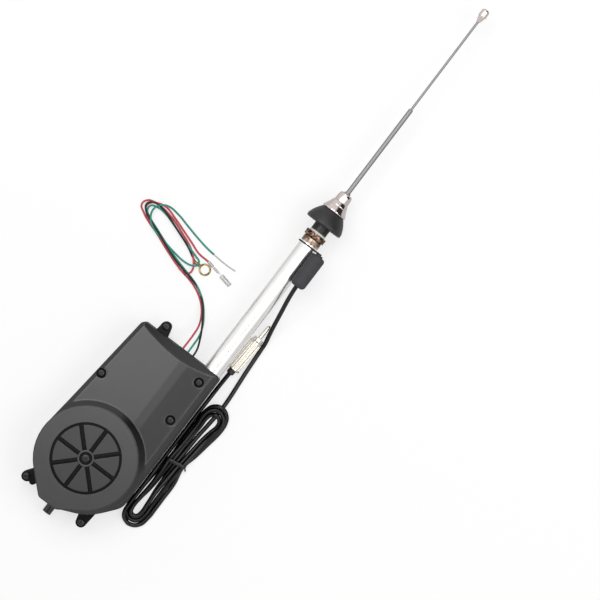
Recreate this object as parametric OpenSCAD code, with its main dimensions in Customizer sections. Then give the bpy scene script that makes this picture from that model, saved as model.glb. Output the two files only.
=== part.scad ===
// Electric telescopic car aerial, lying on its back.
// The mast runs along +Y, +Z points up out of the housing's face, and the origin is on
// the mast's axis at the underside of the wing pad. Millimetres.

/* [Mast] */
// Diameter of the tip rod
tip_d = 2.2; // [1.8:0.1:2.4]
// Length of the tip rod below its button
tip_len = 184; // [160:1:186]
// How far the tip rod stands out of the section below it
tip_out = 97; // [40:1:110]
// Outer diameter of the thinnest tube
section_3_d = 4.2; // [4:0.1:4.4]
// Outer diameter of the middle tube
section_2_d = 5.4; // [5.3:0.1:5.6]
// Outer diameter of the widest moving tube
section_1_d = 6.8; // [6.6:0.1:7]
// Outer diameter of the tube that stays in the housing
fixed_tube_d = 8.2; // [8:0.1:8.4]
// Wall of every mast tube
mast_wall = 0.32; // [0.25:0.01:0.35]
// Length of each moving tube
section_len = 185; // [170:1:186]
// How far the thinnest tube stands out
section_3_out = 91; // [40:1:100]
// Step between one retracted tube's top and the next
top_step = 0.8; // [0.5:0.1:1.5]
// Length of the flared foot inside each tube
foot_len = 8; // [5:0.5:12]
// Length of the swaged neck at the top of each tube
neck_len = 6; // [4:0.5:9]
// Diameter of the tip button
button_d = 7.6; // [7.2:0.1:9]
// Height of the tip button with its stem
button_h = 13; // [11:0.5:15]
// Height of the tip button's tapered stem
stem_h = 5.2; // [3:0.2:6]

/* [Wing fixing] */
// Diameter of the pad's rim on the car wing
pad_d = 35.6; // [32:0.2:38]
// Diameter of the pad's top
pad_top_d = 23.6; // [20:0.2:26]
// Height of the pad
pad_h = 15.6; // [12:0.2:18]
// Height of the sloping part of the chrome cone
cone_h = 6.4; // [4:0.2:8]
// Diameter of the chrome cone's upper step
cone_top_d = 17.6; // [15:0.2:19]
// Height of the chrome cone's upper step
cone_step_h = 4.4; // [3:0.2:6]
// Height of the top nut
nut_h = 8.8; // [7:0.2:11]
// Diameter of the top nut at its base
nut_d = 13.6; // [13.2:0.2:15]
// Outer diameter of the threaded neck
neck_d = 10.6; // [10.4:0.1:10.9]
// Height of the ribbed collar under the wing
collar_h = 7; // [5:0.5:9]
// Diameter of the ribbed collar
collar_d = 15.4; // [14:0.2:17]
// Thickness of the plain washer
washer_h = 1.8; // [1:0.1:2.5]
// Diameter of the claw washer
claw_d = 20; // [18:0.5:22]
// Height of the claw washer
claw_h = 5; // [4:0.2:6]
// Height of the neck's flange
flange_h = 6; // [4:0.2:8]

/* [Base tube] */
// Outer diameter of the base tube
tube_d = 16.8; // [16:0.1:17.4]
// Wall of the base tube
tube_wall = 1; // [0.8:0.1:1.4]
// Room in the base tube below the retracted mast tubes
foot_room = 22.8; // [18:0.2:50]
// Length of base tube inside the housing
tube_in = 11; // [8:0.5:14]

/* [Housing] */
// Radius of the round drum cover
drum_r = 46.2; // [45:0.2:48]
// Distance of the drum's centre from the housing's top edge
drum_drop = 126; // [118:1:134]
// Room between the motor and the housing's outer side
motor_room = 1.15; // [0.8:0.05:3]
// Gap from the base tube to the housing's outer side
case_side = 1.3; // [1.2:0.1:2]
// Depth of the rear case
rear_depth = 20; // [19.5:0.5:24]
// Height of the parting line below the mast's axis
parting_drop = 4; // [3:0.5:5]
// Height of the front face above the mast's axis
face_h = 16; // [15:0.5:19]
// Height of the drum above the front face
drum_h = 5; // [4:0.5:8]
// Thickness of the drum cover
cover_t = 3; // [2.8:0.1:4]
// Wall of the housing
wall = 2.2; // [1.8:0.1:2.6]
// Radius of the recessed wheel in the drum cover
wheel_r = 31.6; // [27:0.2:34]
// Depth of the wheel's sectors
wheel_depth = 1.3; // [1:0.1:1.8]
// Number of ribs in the wheel
wheel_ribs = 8; // [6:1:12]
// Width of a rib
rib_w = 1.6; // [1.2:0.1:2.4]
// Diameter of a case screw's head
screw_head_d = 6.4; // [5.6:0.1:7]
// Diameter of a case screw's shank
screw_d = 2.9; // [2.5:0.1:3.2]
// Length of a case screw under its head
screw_len = 11; // [9:0.5:12]

/* [Drive] */
// Diameter of the nylon drive cord
cord_d = 2.2; // [1.8:0.1:2.3]
// Diameter of the reel's pin
pin_d = 4; // [3.6:0.1:5]
// Diameter of the motor's can
motor_d = 28; // [26:0.5:28.4]
// Length of the motor's can
motor_len = 54; // [48:1:58]
// Wall of the motor's can
motor_wall = 1; // [0.8:0.1:1.4]
// Diameter of the motor's shaft
shaft_d = 3; // [2.4:0.1:3.4]
// Outer diameter of the worm
worm_d = 7; // [6:0.2:8]
// Length of the worm
worm_len = 20; // [16:1:24]
// Outer diameter of the worm wheel
worm_wheel_d = 25; // [22:0.5:28]
// Teeth on the worm wheel
worm_wheel_teeth = 25; // [20:1:32]
// Thickness of the worm wheel
worm_wheel_t = 6; // [5:0.5:6.5]

/* [Coax and wires] */
// Diameter of the coax
coax_d = 4; // [3.6:0.1:4.2]
// Diameter of one wire
wire_d = 1.8; // [1.6:0.1:1.9]
// Diameter of the rubber boot
boot_d = 14.4; // [13:0.2:15]
// Length of the rubber boot
boot_len = 33; // [28:1:36]
// Length of the plug's fluted barrel
plug_len = 36; // [30:1:40]
// Diameter of the plug's fluted barrel
plug_d = 12; // [11:0.2:13]
// Diameter of the plug's pin
plug_pin_d = 3.4; // [3:0.1:4]
// Length of the plug's pin
plug_pin_len = 15; // [12:0.5:17]
// Diameter of the hole in the ring terminal
ring_hole_d = 7.8; // [6:0.2:8.2]

/* [Hidden] */
// Every piece by name, and which of them is drawn

$fn = 48;

// General clearance between pieces that are put together
clear = 0.1;
// Radial clearance of a shaft in its bearing
run_clear = 0.05;
// Radial gap left in a press fit
press_gap = 0.02;
// How far a cutting shape passes the surface that it cuts
pass = 1;
// Degrees between the points of a round outline
arc_step = 7.5;

// Heights, from the mast's axis
parting_z = -parting_drop;
floor_z = parting_z - rear_depth;
rear_inner_z = floor_z + wall;
drum_top_z = face_h + drum_h;
cover_z = drum_top_z + cover_t;
hub_seat_z = cover_z - wheel_depth - 0.6;
shoulder_z = face_h - 7.2;

// Places along the mast
cone_y = pad_h;
cone_step_y = cone_y + cone_h;
nut_y = cone_step_y + cone_step_h;
nut_top_y = nut_y + nut_h;
washer_y = -collar_h - washer_h;
claw_y = washer_y - claw_h;
flange_y = claw_y - flange_h;
section_1_top = nut_top_y + top_step;
tube_foot_y = section_1_top - section_len - foot_room;
case_top_y = tube_foot_y + tube_in;
drum_y = case_top_y - drum_drop;
case_right = tube_d / 2 + case_side;

// The reel sits so that the cord leaves it along the mast's axis
reel_clear = 0.8;
reel_r = drum_r - wall - reel_clear;
cord_r = cord_d / 2;
coil_r = reel_r - cord_r;
drum_x = -coil_r;

// Turns of cord on the reel
cord_turns = 3;
cord_pitch = cord_d * 0.96;
reel_flange_t = 1.4;
reel_low_z = -cord_r - 0.1 - reel_flange_t;
reel_high_z = cord_r + (cord_turns - 1) * cord_pitch + 0.1 + reel_flange_t;
reel_hub_r = 7;
reel_hub_high_z = reel_high_z + 4;
pin_top_z = drum_top_z - 1;

// Wheel in the drum cover
hub_r = 7.2;
wheel_groove = 2.4;
wheel_floor = 0.7;

// Worm and wheel lie under the reel
mesh_gap = 0.25;
reel_hub_low_z = reel_low_z - 0.8;
worm_wheel_low_z = reel_hub_low_z - worm_wheel_t;
motor_z = (reel_hub_low_z + worm_wheel_low_z) / 2;
motor_x = drum_x - worm_wheel_d / 2 - worm_d / 2 - mesh_gap;
case_left = motor_x - motor_d / 2 - wall - motor_room;
motor_top_y = case_top_y - 15;
motor_low_y = motor_top_y - motor_len;
shaft_low_y = drum_y - worm_len / 2 - 7;
post_y = shaft_low_y + 1;
post_t = 4;

// Armature, in its can
core_r = motor_d / 2 - motor_wall - 3.2;
core_low_y = motor_low_y + 9;
core_high_y = motor_top_y - 18;
commutator_r = 4;

// Control board beside the motor
board_x = -40;
board_w = 28;
board_low_y = case_top_y - 66;
board_len = 56;
board_z = floor_z + wall + 3.4;

// Bores of the nested tubes
section_1_bore = section_1_d - 2 * mast_wall;
section_2_bore = section_2_d - 2 * mast_wall;
section_3_bore = section_3_d - 2 * mast_wall;
fixed_bore = fixed_tube_d - 2 * mast_wall;
mast_hole_d = section_1_d + 4 * clear;
fixed_top_y = nut_top_y - 2.4;
section_2_top = section_1_top + top_step;
section_3_top = section_2_top + top_step + section_3_out;
tip_top = section_3_top + tip_out;
tip_foot_y = tip_top - tip_len;
rod_in_button = button_h / 2;
fixed_low_y = tube_foot_y + 1;
insulator_wall = (neck_d / 2 - 0.6 - fixed_tube_d / 2) - 2 * clear;
sleeve_bore = fixed_tube_d + 2 * clear;

// Screw seats, along the face's own values
screw_head_h = 2.2;
recess_d = screw_head_d + 2.4;
recess_z = face_h - 3.5;
cup_low_z = recess_z - wall;
tube_screw_x = -3.5;
first_screw_drop = 14.1;
second_screw_drop = 55.5;
edge_screw_drop = 59;
tube_screws = [
    [tube_screw_x, case_top_y - first_screw_drop],
    [tube_screw_x, case_top_y - second_screw_drop]
];
edge_screw = [case_left - 0.9, case_top_y - edge_screw_drop];
lug_z = parting_z + 6;
lug_r = 4.8;
top_lug = [case_left + 19.4, case_top_y + 7];
left_lug_out = drum_r + 9.85;
right_lug_out = drum_r + 11.35;
left_lug_turn = 234.4;
right_lug_turn = 301.3;
left_lug = [drum_x + left_lug_out * cos(left_lug_turn), drum_y + left_lug_out * sin(left_lug_turn)];
right_lug = [drum_x + right_lug_out * cos(right_lug_turn), drum_y + right_lug_out * sin(right_lug_turn)];
lugs = [top_lug, left_lug, right_lug];
locating_pin = [left_lug[0] + 7, left_lug[1] - 0.8];

// The face falls a little towards the tube, from a soft crease along the housing
face_fall = 3.5;
crease_x = -24;
crease_half = 4;
bevel_w = 7;
bevel_top_z = face_h - (case_right - bevel_w - crease_x) * tan(face_fall);

// Rounded corners of the housing, each [x, y, radius], anticlockwise
corner_r = 4.2;
back_step = 1.4;
chin_r = 5;
chin_drop = drum_r + 5.3;
base_shift = 2.3;
base_r = drum_r + base_shift - 0.1;
skirt_r = 14;
skirt_y = drum_y - 11;
case_rounds = [
    [case_left + corner_r, case_top_y - corner_r, corner_r],
    [drum_x + base_shift, drum_y, base_r],
    [drum_x - 10.8, drum_y - chin_drop + chin_r, chin_r],
    [drum_x + 4.2, drum_y - chin_drop + chin_r, chin_r],
    [drum_x + base_shift, drum_y, base_r],
    [case_right - skirt_r, skirt_y, skirt_r],
    [case_right - corner_r, case_top_y - corner_r, corner_r]
];
rear_chin = 2.4;
rear_rounds = [
    case_rounds[0],
    case_rounds[1],
    [drum_x - 10.8, drum_y - chin_drop + chin_r - rear_chin, chin_r],
    [drum_x + 4.2, drum_y - chin_drop + chin_r - rear_chin, chin_r],
    case_rounds[4],
    case_rounds[5],
    case_rounds[6]
];
cover_rounds = [
    [drum_x, drum_y, drum_r],
    [drum_x - 10.8, drum_y - chin_drop + chin_r, chin_r],
    [drum_x + 4.2, drum_y - chin_drop + chin_r, chin_r]
];

// Wires leave through holes in the housing's top wall
wire_exit_z = parting_z + 3.2;
wire_exits = [for (x = [-33, -27.6, -22]) [x, case_top_y, wire_exit_z]];
grommet_d = wire_d + 2;

// Boot and its socket lie beside and in front of the tube
boot_x = 13.4;
boot_z = 8.6;
boot_y = flange_y - 3.8;
socket_d = 7;

// Coax route, plug and hank
coax_z = floor_z + coax_d / 2;
lead_route = [
    [boot_x, boot_y - boot_len, boot_z], [13.8, -62, 7.6], [14.8, -71, 3.8],
    [16.2, -80, -1.6], [17.6, -89, -7.6], [19, -98, -13], [20.4, -105.5, -17.2],
    [21.9, -113, -21], [22.5, -122, coax_z], [23.2, -134, coax_z], [24, -146, coax_z],
    [25, -158, coax_z], [26, -170, coax_z], [26.6, -180.2, coax_z]
];
plug_tilt = 3.4;
plug_back = [13, -149, floor_z + plug_d / 2];
plug_root_d = plug_pin_d - 0.8;
plug_root_len = 5.6;
ferrule_len = 5;
ferrule_d = 7;
tail_route = [
    [12.7, -154, floor_z + plug_d / 2], [12.4, -161, -19.6], [12, -172, coax_z],
    [11.7, -188, coax_z], [11.5, -204, coax_z], [11.5, -220, coax_z],
    [11.5, -236, coax_z], [11.7, -250, coax_z], [13, -262, coax_z]
];
hank_h = 2 * coax_d + 0.4;
hank_top = [27.3, -192.5, 12.3];
hank_waist = [24, -245.5, 9];
hank_low = [22.4, -303.4, 11.4];
tie_w = 2.4;
tie_t = 0.8;

// Wire routes
wire_z = floor_z + wire_d / 2;
bundle_d = 2.1 * wire_d;
bundle_z = floor_z + bundle_d / 2;
red_lead_route = [
    [wire_exits[0][0], case_top_y - 1, wire_exit_z],
    [wire_exits[0][0], case_top_y + 2, wire_exit_z], [-33, -154, -3], [-33.2, -148, -7],
    [-33.6, -142, -12.5], [-35, -136, -18], [-38, -129, -21.5], [-43, -122.8, bundle_z]
];
green_lead_route = [
    [wire_exits[1][0], case_top_y - 1, wire_exit_z],
    [wire_exits[1][0], case_top_y + 2, wire_exit_z], [-27.6, -154, -3], [-27.8, -148, -7],
    [-29, -141, -12.5], [-31.6, -134, -18], [-35.6, -127, -21.5], [-42.6, -120.6, bundle_z]
];
black_lead_route = [
    [wire_exits[2][0], case_top_y - 1, wire_exit_z],
    [wire_exits[2][0], case_top_y + 2, wire_exit_z], [-22.6, -154, -3], [-24, -148.4, -6],
    [-27, -142.5, -8], [-31, -137, -9.5], [-35.4, -131.4, -14], [-40, -126, -18.4],
    [-44, -122, bundle_z]
];
bundle_route = [
    [-42.2, -122.2, bundle_z], [-52, -115, bundle_z], [-61, -110.8, bundle_z],
    [-70, -108, bundle_z], [-78, -106, bundle_z]
];
loop_h = 2 * wire_d + 0.4;
loop_left = [-131, -79.6, 10.6];
loop_right = [-81, -96.4, 8.2];
loop_hole_left = [-127, -81.4, 5.4];
loop_hole_right = [-87, -94.6, 3.4];
green_tail_route = [
    [-127, -69.6, wire_z], [-119.6, -67.6, wire_z], [-110, -69.4, wire_z],
    [-100, -71.6, wire_z], [-90, -73.4, wire_z], [-80, -75.2, wire_z], [-70, -77, wire_z],
    [-62, -78, wire_z]
];
green_bare_route = [[-62, -78, wire_z], [-54, -78.6, wire_z], [-46, -78.8, wire_z], [-38, -78.3, wire_z]];
red_tail_route = [
    [-90, -84.2, wire_z], [-83, -85, wire_z], [-76, -85.5, wire_z], [-69, -85.8, wire_z],
    [-62, -86, wire_z]
];
red_end = [-61.9, -86];
ring_centre = [-60.4, -93.6];
ring_t = 0.9;
ring_d = ring_hole_d + 3.4;

function edge_turn(a, b) =
    atan2(b[1] - a[1], b[0] - a[0]) - acos((a[2] - b[2]) / norm([b[0] - a[0], b[1] - a[1]]));
function arc_points(c, from, to, grow) =
    let (
        r = c[2] + grow,
        sweep = (to - from + 720) % 360,
        step = arc_step * (r < 3 ? 4 : r < 15 ? 2 : 1),
        n = max(1, ceil(sweep / step))
    )
    [for (k = [0 : n]) [c[0] + r * cos(from + sweep * k / n), c[1] + r * sin(from + sweep * k / n)]];
// Outline that goes round a ring of circles, each [x, y, radius], grown by a margin
function round_outline(rounds, grow = 0) =
    let (n = len(rounds))
    [for (i = [0 : n - 1]) each arc_points(
        rounds[i],
        edge_turn(rounds[(i + n - 1) % n], rounds[i]),
        edge_turn(rounds[i], rounds[(i + 1) % n]),
        grow
    )];

// Rings of points round a route, one ring to each of its points
function route_way(route, i) =
    let (a = route[max(i - 1, 0)], b = route[min(i + 1, len(route) - 1)]) (b - a) / norm(b - a);
function ring_points(centre, way, d, sides) =
    let (side = cross(way, [0, 0, 1]) / norm(cross(way, [0, 0, 1])), up = cross(side, way))
    [for (k = [0 : sides - 1]) centre + d / 2 * (side * cos(360 * k / sides) + up * sin(360 * k / sides))];

module route_tube(route, d, sides) {
    rings = len(route);
    points = [for (i = [0 : rings - 1]) each ring_points(route[i], route_way(route, i), d, sides)];
    walls = [for (i = [0 : rings - 2], k = [0 : sides - 1]) [
        i * sides + k,
        i * sides + (k + 1) % sides,
        (i + 1) * sides + (k + 1) % sides,
        (i + 1) * sides + k
    ]];
    start = [for (k = [0 : sides - 1]) sides - 1 - k];
    end = [for (k = [0 : sides - 1]) (rings - 1) * sides + k];
    polyhedron(points, concat(walls, [start, end]));
}

// Solid of an outline between two heights
module slab(rounds, grow, low, high) {
    translate([0, 0, low])
        linear_extrude(high - low)
            polygon(round_outline(rounds, grow));
}

// A cylinder along +Y, between two places on the mast's axis
module y_cylinder(low, high, d) {
    translate([0, low, 0])
        rotate([-90, 0, 0])
            cylinder(h = high - low, d = d);
}

module y_tube(low, high, d, bore) {
    difference() {
        y_cylinder(low, high, d);
        y_cylinder(low - pass, high + pass, bore);
    }
}

// A turned shape about the mast's axis from a profile of [radius, place along the mast]
module y_turned(profile) {
    rotate([-90, 0, 0])
        rotate_extrude($fn = 64)
            polygon(profile);
}

// One moving tube: a plain tube with a swaged neck on top and a flared foot below
module mast_section(top, d, bore, outer_bore, inner_d) {
    low = top - section_len;
    y_turned([
        [bore / 2, low],
        [outer_bore / 2 - clear, low],
        [outer_bore / 2 - clear, low + foot_len - 1],
        [d / 2, low + foot_len],
        [d / 2, top - 1],
        [d / 2 - 0.3, top],
        [inner_d / 2 + clear, top],
        [inner_d / 2 + clear, top - neck_len],
        [bore / 2, top - neck_len - 1]
    ]);
}

module mast_section_1() {
    color("gainsboro")
        mast_section(section_1_top, section_1_d, section_1_bore, fixed_bore, section_2_d);
}

module mast_section_2() {
    color("silver")
        mast_section(section_2_top, section_2_d, section_2_bore, section_1_bore, section_3_d);
}

module mast_section_3() {
    color("gainsboro")
        mast_section(section_3_top, section_3_d, section_3_bore, section_2_bore, tip_d);
}

module tip_rod() {
    color("silver")
        y_turned([
            [0, tip_foot_y],
            [section_3_bore / 2 - clear, tip_foot_y],
            [section_3_bore / 2 - clear, tip_foot_y + foot_len - 1],
            [tip_d / 2, tip_foot_y + foot_len],
            [tip_d / 2, tip_top + rod_in_button],
            [0, tip_top + rod_in_button]
        ]);
}

// Button with a tapered stem, bored for the tip rod
module tip_button() {
    bore = tip_d / 2 + press_gap;
    bore_top = tip_top + rod_in_button + press_gap;
    top = tip_top + button_h;
    color("gainsboro")
        y_turned([
            [bore, tip_top],
            [tip_d / 2 + 0.6, tip_top],
            [button_d / 2 - 0.6, tip_top + stem_h],
            [button_d / 2, tip_top + stem_h + 0.7],
            [button_d / 2, top - 1.8],
            [button_d / 2 - 0.5, top - 0.8],
            [button_d / 2 - 1.5, top],
            [0, top],
            [0, bore_top],
            [bore, bore_top]
        ]);
}

module fixed_tube() {
    color("darkgray")
        y_turned([
            [fixed_bore / 2, fixed_low_y],
            [fixed_tube_d / 2, fixed_low_y],
            [fixed_tube_d / 2, fixed_top_y],
            [section_1_d / 2 + clear, fixed_top_y],
            [section_1_d / 2 + clear, fixed_top_y - neck_len],
            [fixed_bore / 2, fixed_top_y - neck_len - 1]
        ]);
}

// Plastic sleeve that keeps the live tube off the earthed neck
module upper_insulator() {
    color("ivory")
        y_tube(flange_y - 13, fixed_top_y - 3, sleeve_bore + 2 * insulator_wall, sleeve_bore);
}

module lower_insulator() {
    color("ivory")
        y_tube(tube_foot_y, tube_foot_y + 12, tube_d - 2 * tube_wall - 2 * clear, sleeve_bore);
}

module base_tube() {
    color("gainsboro")
        y_tube(tube_foot_y, flange_y, tube_d, tube_d - 2 * tube_wall);
}

// Threaded neck, turned in one with the flange that caps the base tube
module threaded_neck() {
    bore = fixed_tube_d + 2 * insulator_wall + 4 * clear;
    color("darkkhaki")
        y_turned([
            [bore / 2, flange_y - 12],
            [tube_d / 2 - tube_wall - clear, flange_y - 12],
            [tube_d / 2 - tube_wall - clear, flange_y],
            [tube_d / 2 + 0.4, flange_y],
            [tube_d / 2 + 0.4, flange_y + flange_h - 1],
            [tube_d / 2 - 0.4, flange_y + flange_h],
            [neck_d / 2, flange_y + flange_h],
            [neck_d / 2, nut_y + nut_h / 2 - 0.6],
            [neck_d / 2 - 0.4, nut_y + nut_h / 2],
            [bore / 2, nut_y + nut_h / 2]
        ]);
}

// Dished washer whose teeth bite the underside of the wing
module claw_washer() {
    teeth = 10;
    plate_t = 1.4;
    color("peru")
        translate([0, claw_y, 0])
            rotate([-90, 0, 0])
                difference() {
                    union() {
                        cylinder(h = plate_t, d = claw_d);
                        cylinder(h = claw_h, d = collar_d);
                        difference() {
                            cylinder(h = claw_h, d = claw_d);
                            translate([0, 0, plate_t])
                                cylinder(h = claw_h, d = claw_d - 2.6);
                            for (i = [0 : teeth - 1])
                                rotate([0, 0, (i + 0.5) * 360 / teeth])
                                    translate([claw_d / 2, 0, claw_h])
                                        rotate([0, 90, 0])
                                            cylinder(h = claw_d / 3, r = 2.3, center = true, $fn = 24);
                        }
                    }
                    translate([0, 0, -pass])
                        cylinder(h = claw_h + 2 * pass, d = neck_d + 2 * clear);
                }
}

module plain_washer() {
    color("whitesmoke")
        y_tube(washer_y, washer_y + washer_h, collar_d + 0.4, neck_d + 2 * clear);
}

// Collar with fine ribs all round, which centres the aerial in the wing's hole
module ribbed_collar() {
    ribs = 30;
    groove_w = 0.7;
    color("black")
        translate([0, -collar_h, 0])
            rotate([-90, 0, 0])
                difference() {
                    cylinder(h = collar_h, d = collar_d);
                    translate([0, 0, -pass])
                        cylinder(h = collar_h + 2 * pass, d = neck_d + 2 * clear);
                    for (i = [0 : ribs - 1])
                        rotate([0, 0, i * 360 / ribs])
                            translate([collar_d / 2 - 0.5, -groove_w / 2, 0.8])
                                cube([pass, groove_w, collar_h - 1.6]);
                }
}

// Moulded pad: a steep cone with a swelling side, over a plain rim
module wing_pad() {
    rim_t = 3.2;
    top_edge = 1.2;
    swell = 0.7;
    rise = pad_h - top_edge - rim_t;
    spread = (pad_d - pad_top_d) / 2;
    color("#333334")
        y_turned(concat(
            [[neck_d / 2 + clear, 0], [pad_d / 2 - 0.8, 0], [pad_d / 2, 0.8]],
            [for (part = [0 : 0.125 : 1]) [
                pad_d / 2 - spread * part + swell * sin(180 * part),
                rim_t + rise * part
            ]],
            [[pad_top_d / 2 - top_edge, pad_h], [neck_d / 2 + clear, pad_h]]
        ));
}

module chrome_cone() {
    color("gainsboro")
        y_turned([
            [neck_d / 2 + clear, cone_y],
            [pad_top_d / 2 - 0.3, cone_y],
            [pad_top_d / 2, cone_y + 0.5],
            [pad_top_d / 2 - 0.2, cone_y + 1.3],
            [cone_top_d / 2 + 0.4, cone_step_y - 0.4],
            [cone_top_d / 2, cone_step_y],
            [cone_top_d / 2, cone_step_y + 0.6],
            [nut_d / 2 + 0.7, nut_y - 0.5],
            [nut_d / 2 + 0.2, nut_y],
            [neck_d / 2 + clear, nut_y]
        ]);
}

// Dome nut with six flats that fade into its rounded top
module top_nut() {
    seat = nut_y + nut_h / 2 + clear;
    color("gainsboro")
        difference() {
            y_turned([
                [neck_d / 2 + clear, nut_y],
                [nut_d / 2 - 0.3, nut_y],
                [nut_d / 2, nut_y + 0.4],
                [nut_d / 2 - 0.3, nut_top_y - 3],
                [nut_d / 2 - 0.8, nut_top_y - 1.2],
                [nut_d / 2 - 1.8, nut_top_y - 0.2],
                [nut_d / 2 - 2.2, nut_top_y],
                [mast_hole_d / 2, nut_top_y],
                [mast_hole_d / 2, fixed_top_y + clear],
                [fixed_tube_d / 2 + clear, fixed_top_y + clear],
                [fixed_tube_d / 2 + clear, seat],
                [neck_d / 2 + clear, seat]
            ]);
            for (i = [0 : 5])
                rotate([0, i * 60, 0])
                    translate([-nut_d / 2, nut_y - pass, nut_d / 2 - 0.5])
                        cube([nut_d, nut_h - 2.6 + pass, pass]);
        }
}

// Triangular cut along an edge of the face, w wide on the face and deep down the side.
// The side that stays lies to the left of the line, or to its right where w is negative.
module edge_cut(from, to, w, deep, top) {
    run = norm(to - from);
    over = 5 * sign(w);
    translate([from[0], from[1], top])
        rotate([0, 0, atan2(to[1] - from[1], to[0] - from[0])])
            translate([-4, 0, 0])
                rotate([90, 0, 90])
                    linear_extrude(run + 8)
                        polygon([
                            [w, 0],
                            [w + over, deep * over / w],
                            [-over, deep * over / w],
                            [-over, -deep * (1 + over / w)],
                            [0, -deep]
                        ]);
}

// Wedge off the face, right of a line along the housing
module slope_cut(x, fall) {
    reach = 2 * drum_r;
    translate([x, drum_y - 2 * drum_r, face_h])
        rotate([0, fall, 0])
            cube([reach, drum_drop + 3 * drum_r, reach * tan(face_fall) + pass]);
}

// Front face with its sloping edges and scooped top, without the drum
module face_block() {
    left_top = [case_left, case_top_y];
    left_low = [drum_x + base_shift - base_r, drum_y + 5];
    right_top = [case_right, case_top_y];
    right_low = [case_right, skirt_y - 6];
    scoop_r = 350;
    scoop_len = 160;
    scoop_mid_x = (case_left + case_right) / 2 + 4;
    scoop_tilt = 27;
    difference() {
        slab(case_rounds, 0, parting_z, face_h);
        slope_cut(crease_x - crease_half, face_fall / 2);
        slope_cut(crease_x, face_fall);
        edge_cut(left_low, left_top, -4, 3.4, face_h);
        edge_cut(right_low, right_top, bevel_w, 3.4, bevel_top_z);
        edge_cut(right_low, right_top, 2.6, 6, bevel_top_z);
        translate([scoop_mid_x, case_top_y - 9.2, face_h])
            rotate([-90 - scoop_tilt, 0, 0])
                translate([0, -scoop_r, -scoop_len / 2])
                    cylinder(h = scoop_len, r = scoop_r, $fn = 360);
    }
}

// Raised drum under the cover, its sloping foot set a little towards the wing
module raised_drum() {
    draft = 4.4;
    foot_shift = 1.2;
    low_z = face_h - 4;
    intersection() {
        slab(case_rounds, 0, low_z, drum_top_z);
        union() {
            translate([drum_x, drum_y + foot_shift, 0])
                rotate_extrude($fn = 96)
                    polygon([
                        [0, low_z],
                        [drum_r + draft, low_z],
                        [drum_r + draft, face_h - pass],
                        [drum_r - 1.4, drum_top_z],
                        [0, drum_top_z]
                    ]);
            slab(cover_rounds, -0.3, low_z, drum_top_z);
        }
    }
}

// A screw lug's plan: a round end that flares into the case
module lug(centre, inward, low, high) {
    root = [inward[0], inward[1], lug_r + 2];
    slab([[centre[0], centre[1], lug_r], root], 0, low, high);
}

module all_lugs(low, high) {
    lug(top_lug, [top_lug[0] + 1, case_top_y - 5], low, high);
    lug(left_lug, [left_lug[0] + 9, left_lug[1] + 9], low, high);
    lug(right_lug, [right_lug[0] - 1, right_lug[1] + 12], low, high);
    pin_root = [locating_pin[0] + 3, locating_pin[1] + 8, 4];
    slab([[locating_pin[0], locating_pin[1], 3], pin_root], 0, low, high);
}

module at_points(points) {
    for (p = points)
        translate([p[0], p[1], 0])
            children();
}

// Hollow of the front case, which leaves the cups that the face screws sit in
module front_hollow() {
    top_inset = 16;
    pocket_top = face_h - wall - 1.5;
    difference() {
        union() {
            slab(case_rounds, -wall, parting_z - pass, shoulder_z);
            slab([
                [case_left + 9, case_top_y - top_inset, 1],
                [drum_x, drum_y, drum_r - 3 * wall],
                [case_right - 11, drum_y + 10, 1],
                [case_right - 11, case_top_y - top_inset, 1]
            ], 0, parting_z - pass, pocket_top);
        }
        at_points(concat(tube_screws, [edge_screw]))
            translate([0, 0, cup_low_z])
                cylinder(h = face_h, d = recess_d + 3.2);
    }
    translate([drum_x, drum_y, parting_z - pass])
        cylinder(h = drum_top_z - parting_z + 2 * pass, r = drum_r - wall, $fn = 96);
}

module front_case() {
    color("#545254")
        difference() {
            union() {
                face_block();
                raised_drum();
                all_lugs(parting_z, lug_z);
            }
            front_hollow();
            at_points(concat(tube_screws, [edge_screw])) {
                translate([0, 0, recess_z])
                    cylinder(h = face_h, d = recess_d);
                translate([0, 0, parting_z - pass])
                    cylinder(h = 2 * face_h, d = screw_d + 4 * clear);
            }
            at_points(lugs)
                translate([0, 0, parting_z - pass])
                    cylinder(h = rear_depth, d = screw_d + 4 * clear);
            y_cylinder(tube_foot_y - clear, case_top_y + pass, tube_d + 2 * clear);
            at_points(wire_exits)
                translate([0, pass, wire_exit_z])
                    rotate([90, 0, 0])
                        cylinder(h = 3 * wall, d = grommet_d);
        }
}

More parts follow.
